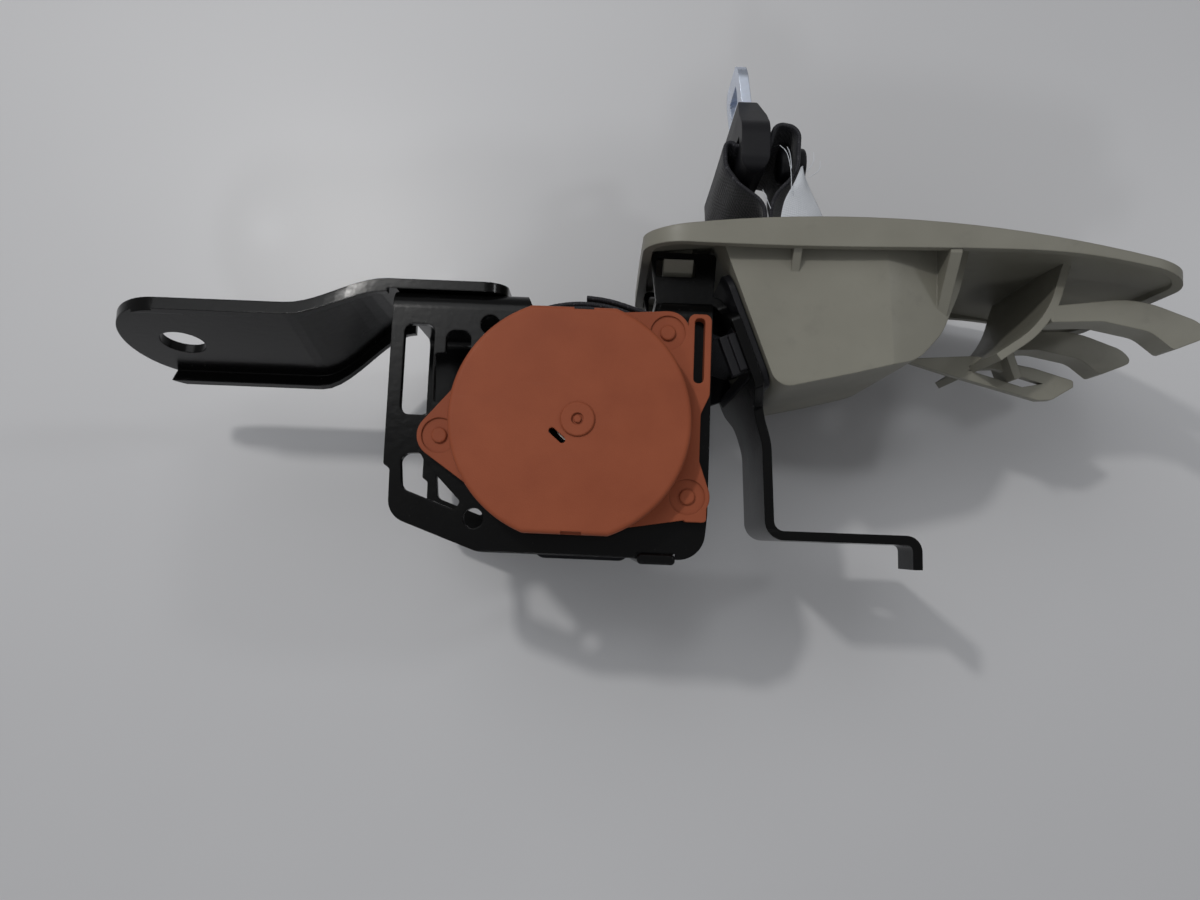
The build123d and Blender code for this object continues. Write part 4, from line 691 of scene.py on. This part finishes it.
def makeWoundBelt():
    inputs = [(label, "Float", value) for label, value in woundBelt.items()]
    tree, sizes = nodeTree("wound belt", inputs)
    spiral = tree.node("GeometryNodeCurveSpiral", {}, {
        "Resolution": 64, "Rotations": sizes["Turns"], "Start Radius": sizes["Inner Radius"],
        "End Radius": sizes["Outer Radius"], "Height": 0.0, "Reverse": False})
    along = tree.node("GeometryNodeSplineParameter").out("Length")
    marked = kept(tree, spiral.out(), "along", along)
    upright = tree.node("GeometryNodeSetCurveNormal", {"mode": "Z_UP"}, {"Curve": marked})
    edge = tree.node("GeometryNodeCurvePrimitiveQuadrilateral", {"mode": "RECTANGLE"}, {
        "Width": sizes["Thickness"], "Height": sizes["Width"]})
    filleted = tree.node("GeometryNodeFilletCurve", {"mode": "POLY"}, {
        "Curve": edge.out(), "Count": 3, "Radius": sizes["Thickness"] * 0.45})
    lower = tree.node("ShaderNodeSeparateXYZ", {}, {0: tree.node("GeometryNodeInputPosition").out()}).out(1)
    lined = kept(tree, filleted.out(), "across", lower + sizes["Width"] / 2)
    swept = tree.node("GeometryNodeCurveToMesh", {}, {
        "Curve": upright.out(), "Profile Curve": lined, "Fill Caps": True})
    spot = tree.node("ShaderNodeCombineXYZ", {}, {0: recalled(tree, "across"), 1: recalled(tree, "along")}).out()
    mapped = kept(tree, swept.out(), "UVMap", spot, "FLOAT2", "CORNER")
    raised = tree.node("GeometryNodeTransform", {}, {"Geometry": mapped, "Translation": (0, 0, beltMiddle)})
    endTree(tree, raised.out(), beltCloth, smooth=False)
    return grow("belt_roll", tree, woundBelt)


roll = makeWoundBelt()
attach(roll, "spool")
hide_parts("webbing_roll")
print("belt roll made:", len(roll.data.polygons), "faces")


# rows of slanting stitches on both faces of the sewn run behind the anchor plate
stitching = {"Rows": 5, "Per Row": 23, "Row Gap": 0.0021, "Stitch Gap": 0.0020, "Length": 0.0026,
             "Width": 0.00042, "Slant": 0.72, "Seed": 4}
sewnRun = {"start": (0.0561, 0.0462, beltMiddle), "end": (0.0596, 0.0356, beltMiddle), "off": 0.00122,
           "shake": 0.09}


def makeStitches():
    inputs = [(name, "Int" if isinstance(value, int) else "Float", value) for name, value in stitching.items()]
    tree, sizes = nodeTree("stitches", inputs)
    grid = tree.node("GeometryNodeMeshGrid", {}, {
        "Size X": sizes["Row Gap"] * (sizes["Rows"] - 1), "Vertices X": sizes["Rows"],
        "Size Y": sizes["Stitch Gap"] * (sizes["Per Row"] - 1), "Vertices Y": sizes["Per Row"]}).out("Mesh")
    bead = tree.node("GeometryNodeMeshUVSphere", {}, {"Segments": 8, "Rings": 6, "Radius": 0.5}).out("Mesh")
    spread = tree.node("ShaderNodeCombineXYZ", {}, {
        0: sizes["Length"], 1: sizes["Width"], 2: sizes["Width"]}).out()
    stitch = tree.node("GeometryNodeTransform", {}, {"Geometry": bead, "Scale": spread}).out()
    index = tree.node("GeometryNodeInputIndex").out()
    side = 1 - 2 * index.over(2)
    shake = tree.node("FunctionNodeRandomValue", {"data_type": "FLOAT"}, {
        "Min": -sewnRun["shake"], "Max": sewnRun["shake"], "Seed": sizes["Seed"]}).out("Value")
    turn = tree.node("ShaderNodeCombineXYZ", {}, {2: math.pi / 2 + side * sizes["Slant"] + shake}).out()
    rows = tree.node("GeometryNodeInstanceOnPoints", {}, {
        "Points": grid, "Instance": stitch, "Rotation": turn}).out()
    start, end = Vector(sewnRun["start"]), Vector(sewnRun["end"])
    along, up = (end - start).normalized(), Vector((0, 0, 1))
    both = tree.node("GeometryNodeJoinGeometry")
    for way in (1, -1):
        outward = along.cross(up) * way
        turned = Matrix((along, up * way, outward)).transposed()
        laid = tree.node("GeometryNodeTransform", {}, {
            "Geometry": rows, "Translation": (start + end) / 2 + outward * sewnRun["off"],
            "Rotation": turned.to_euler()})
        tree.nodeTree.links.new(laid.out().socket, both.node.inputs[0])
    endTree(tree, both.out(), thread)
    return grow("stitches", tree, stitching)


stitches = makeStitches()
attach(stitches, "belt_end")
print("stitches made:", len(stitches.data.polygons), "faces")

# loose ends of thread at the label's hem: the radius in metres, the lines in millimetres
fray = {"Radius": 0.00010, "steps": 18, "lines": [
    [(51.2, 79.0, 71.4), (52.9, 76.4, 72.6), (54.0, 71.6, 72.9), (54.3, 65.6, 72.8)],
    [(53.2, 78.6, 71.4), (53.8, 76.2, 72.4), (54.2, 72.0, 72.9)],
    [(58.6, 72.0, 70.8), (60.2, 74.4, 71.8), (60.4, 77.4, 71.2)],
    [(59.4, 70.8, 70.2), (61.8, 72.4, 71.0), (62.4, 75.2, 70.6)],
    [(46.9, 66.6, 70.9), (48.0, 63.6, 71.6), (49.1, 61.2, 71.4)]]}


def makeFray():
    tree, sizes = nodeTree("loose threads", [("Lines", "Geometry", None), ("Radius", "Float", fray["Radius"])])
    line = tree.node("GeometryNodeMeshToCurve", {}, {"Mesh": sizes["Lines"]}).out()
    edge = tree.node("GeometryNodeCurvePrimitiveCircle", {}, {
        "Resolution": 6, "Radius": sizes["Radius"]}).out("Curve")
    tube = tree.node("GeometryNodeCurveToMesh", {}, {
        "Curve": line, "Profile Curve": edge, "Fill Caps": True}).out()
    endTree(tree, tube, labelCloth)
    work = bmesh.new()
    for line in fray["lines"]:
        spots = [work.verts.new(eased(line, i / fray["steps"]) * mm) for i in range(fray["steps"] + 1)]
        for a, b in zip(spots, spots[1:]):
            work.edges.new((a, b))
    return grow("loose_threads", tree, {"Radius": fray["Radius"]}, meshFrom(work, "loose_threads"))


threads = makeFray()
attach(threads, "belt_end")
print("loose threads made:", len(threads.data.polygons), "faces")


floorLook = {"colour": (0.565, 0.565, 0.58, 1), "pale": 0.62, "rough": 0.34, "size": 3.0, "height": -0.0002}


def makeFloor():
    finish = Finish("floor", **{"Specular IOR Level": 0.5})
    cloud = finish.noise(6, 3, 0.5)
    finish.give("Base Color", finish.mix(cloud, floorLook["colour"], grey(floorLook["pale"], (1, 1, 1.02))))
    finish.give("Roughness", floorLook["rough"] + cloud * 0.08)
    work = bmesh.new()
    bmesh.ops.create_grid(work, x_segments=1, y_segments=1, size=floorLook["size"])
    bmesh.ops.translate(work, vec=(0, 0, floorLook["height"]), verts=work.verts)
    floor = placed("floor", meshFrom(work, "floor", finish.material))


# what the camera and glossy surfaces see is paler than what lights the object
surround = {"seen": 0.24, "light": 0.26, "tint": (0.97, 0.98, 1.0, 1)}


def makeSurround():
    world = bpy.data.worlds.new("surround")
    bpy.context.scene.world = world
    world.use_nodes = True
    tree = Tree(world.node_tree)
    world.node_tree.nodes.clear()
    path = tree.node("ShaderNodeLightPath")
    seen = path.out("Is Camera Ray") + path.out("Is Glossy Ray") + path.out("Is Transmission Ray")
    level = surround["light"] + seen.rise(0, 1) * (surround["seen"] - surround["light"])
    glow = tree.node("ShaderNodeBackground", {}, {"Color": surround["tint"], "Strength": level})
    tree.node("ShaderNodeOutputWorld", {}, {"Surface": glow.out()})


makeCamera()
makeLamps()
makeFloor()
makeSurround()
bpy.context.scene.view_settings.view_transform = "Standard"

print("scene made")
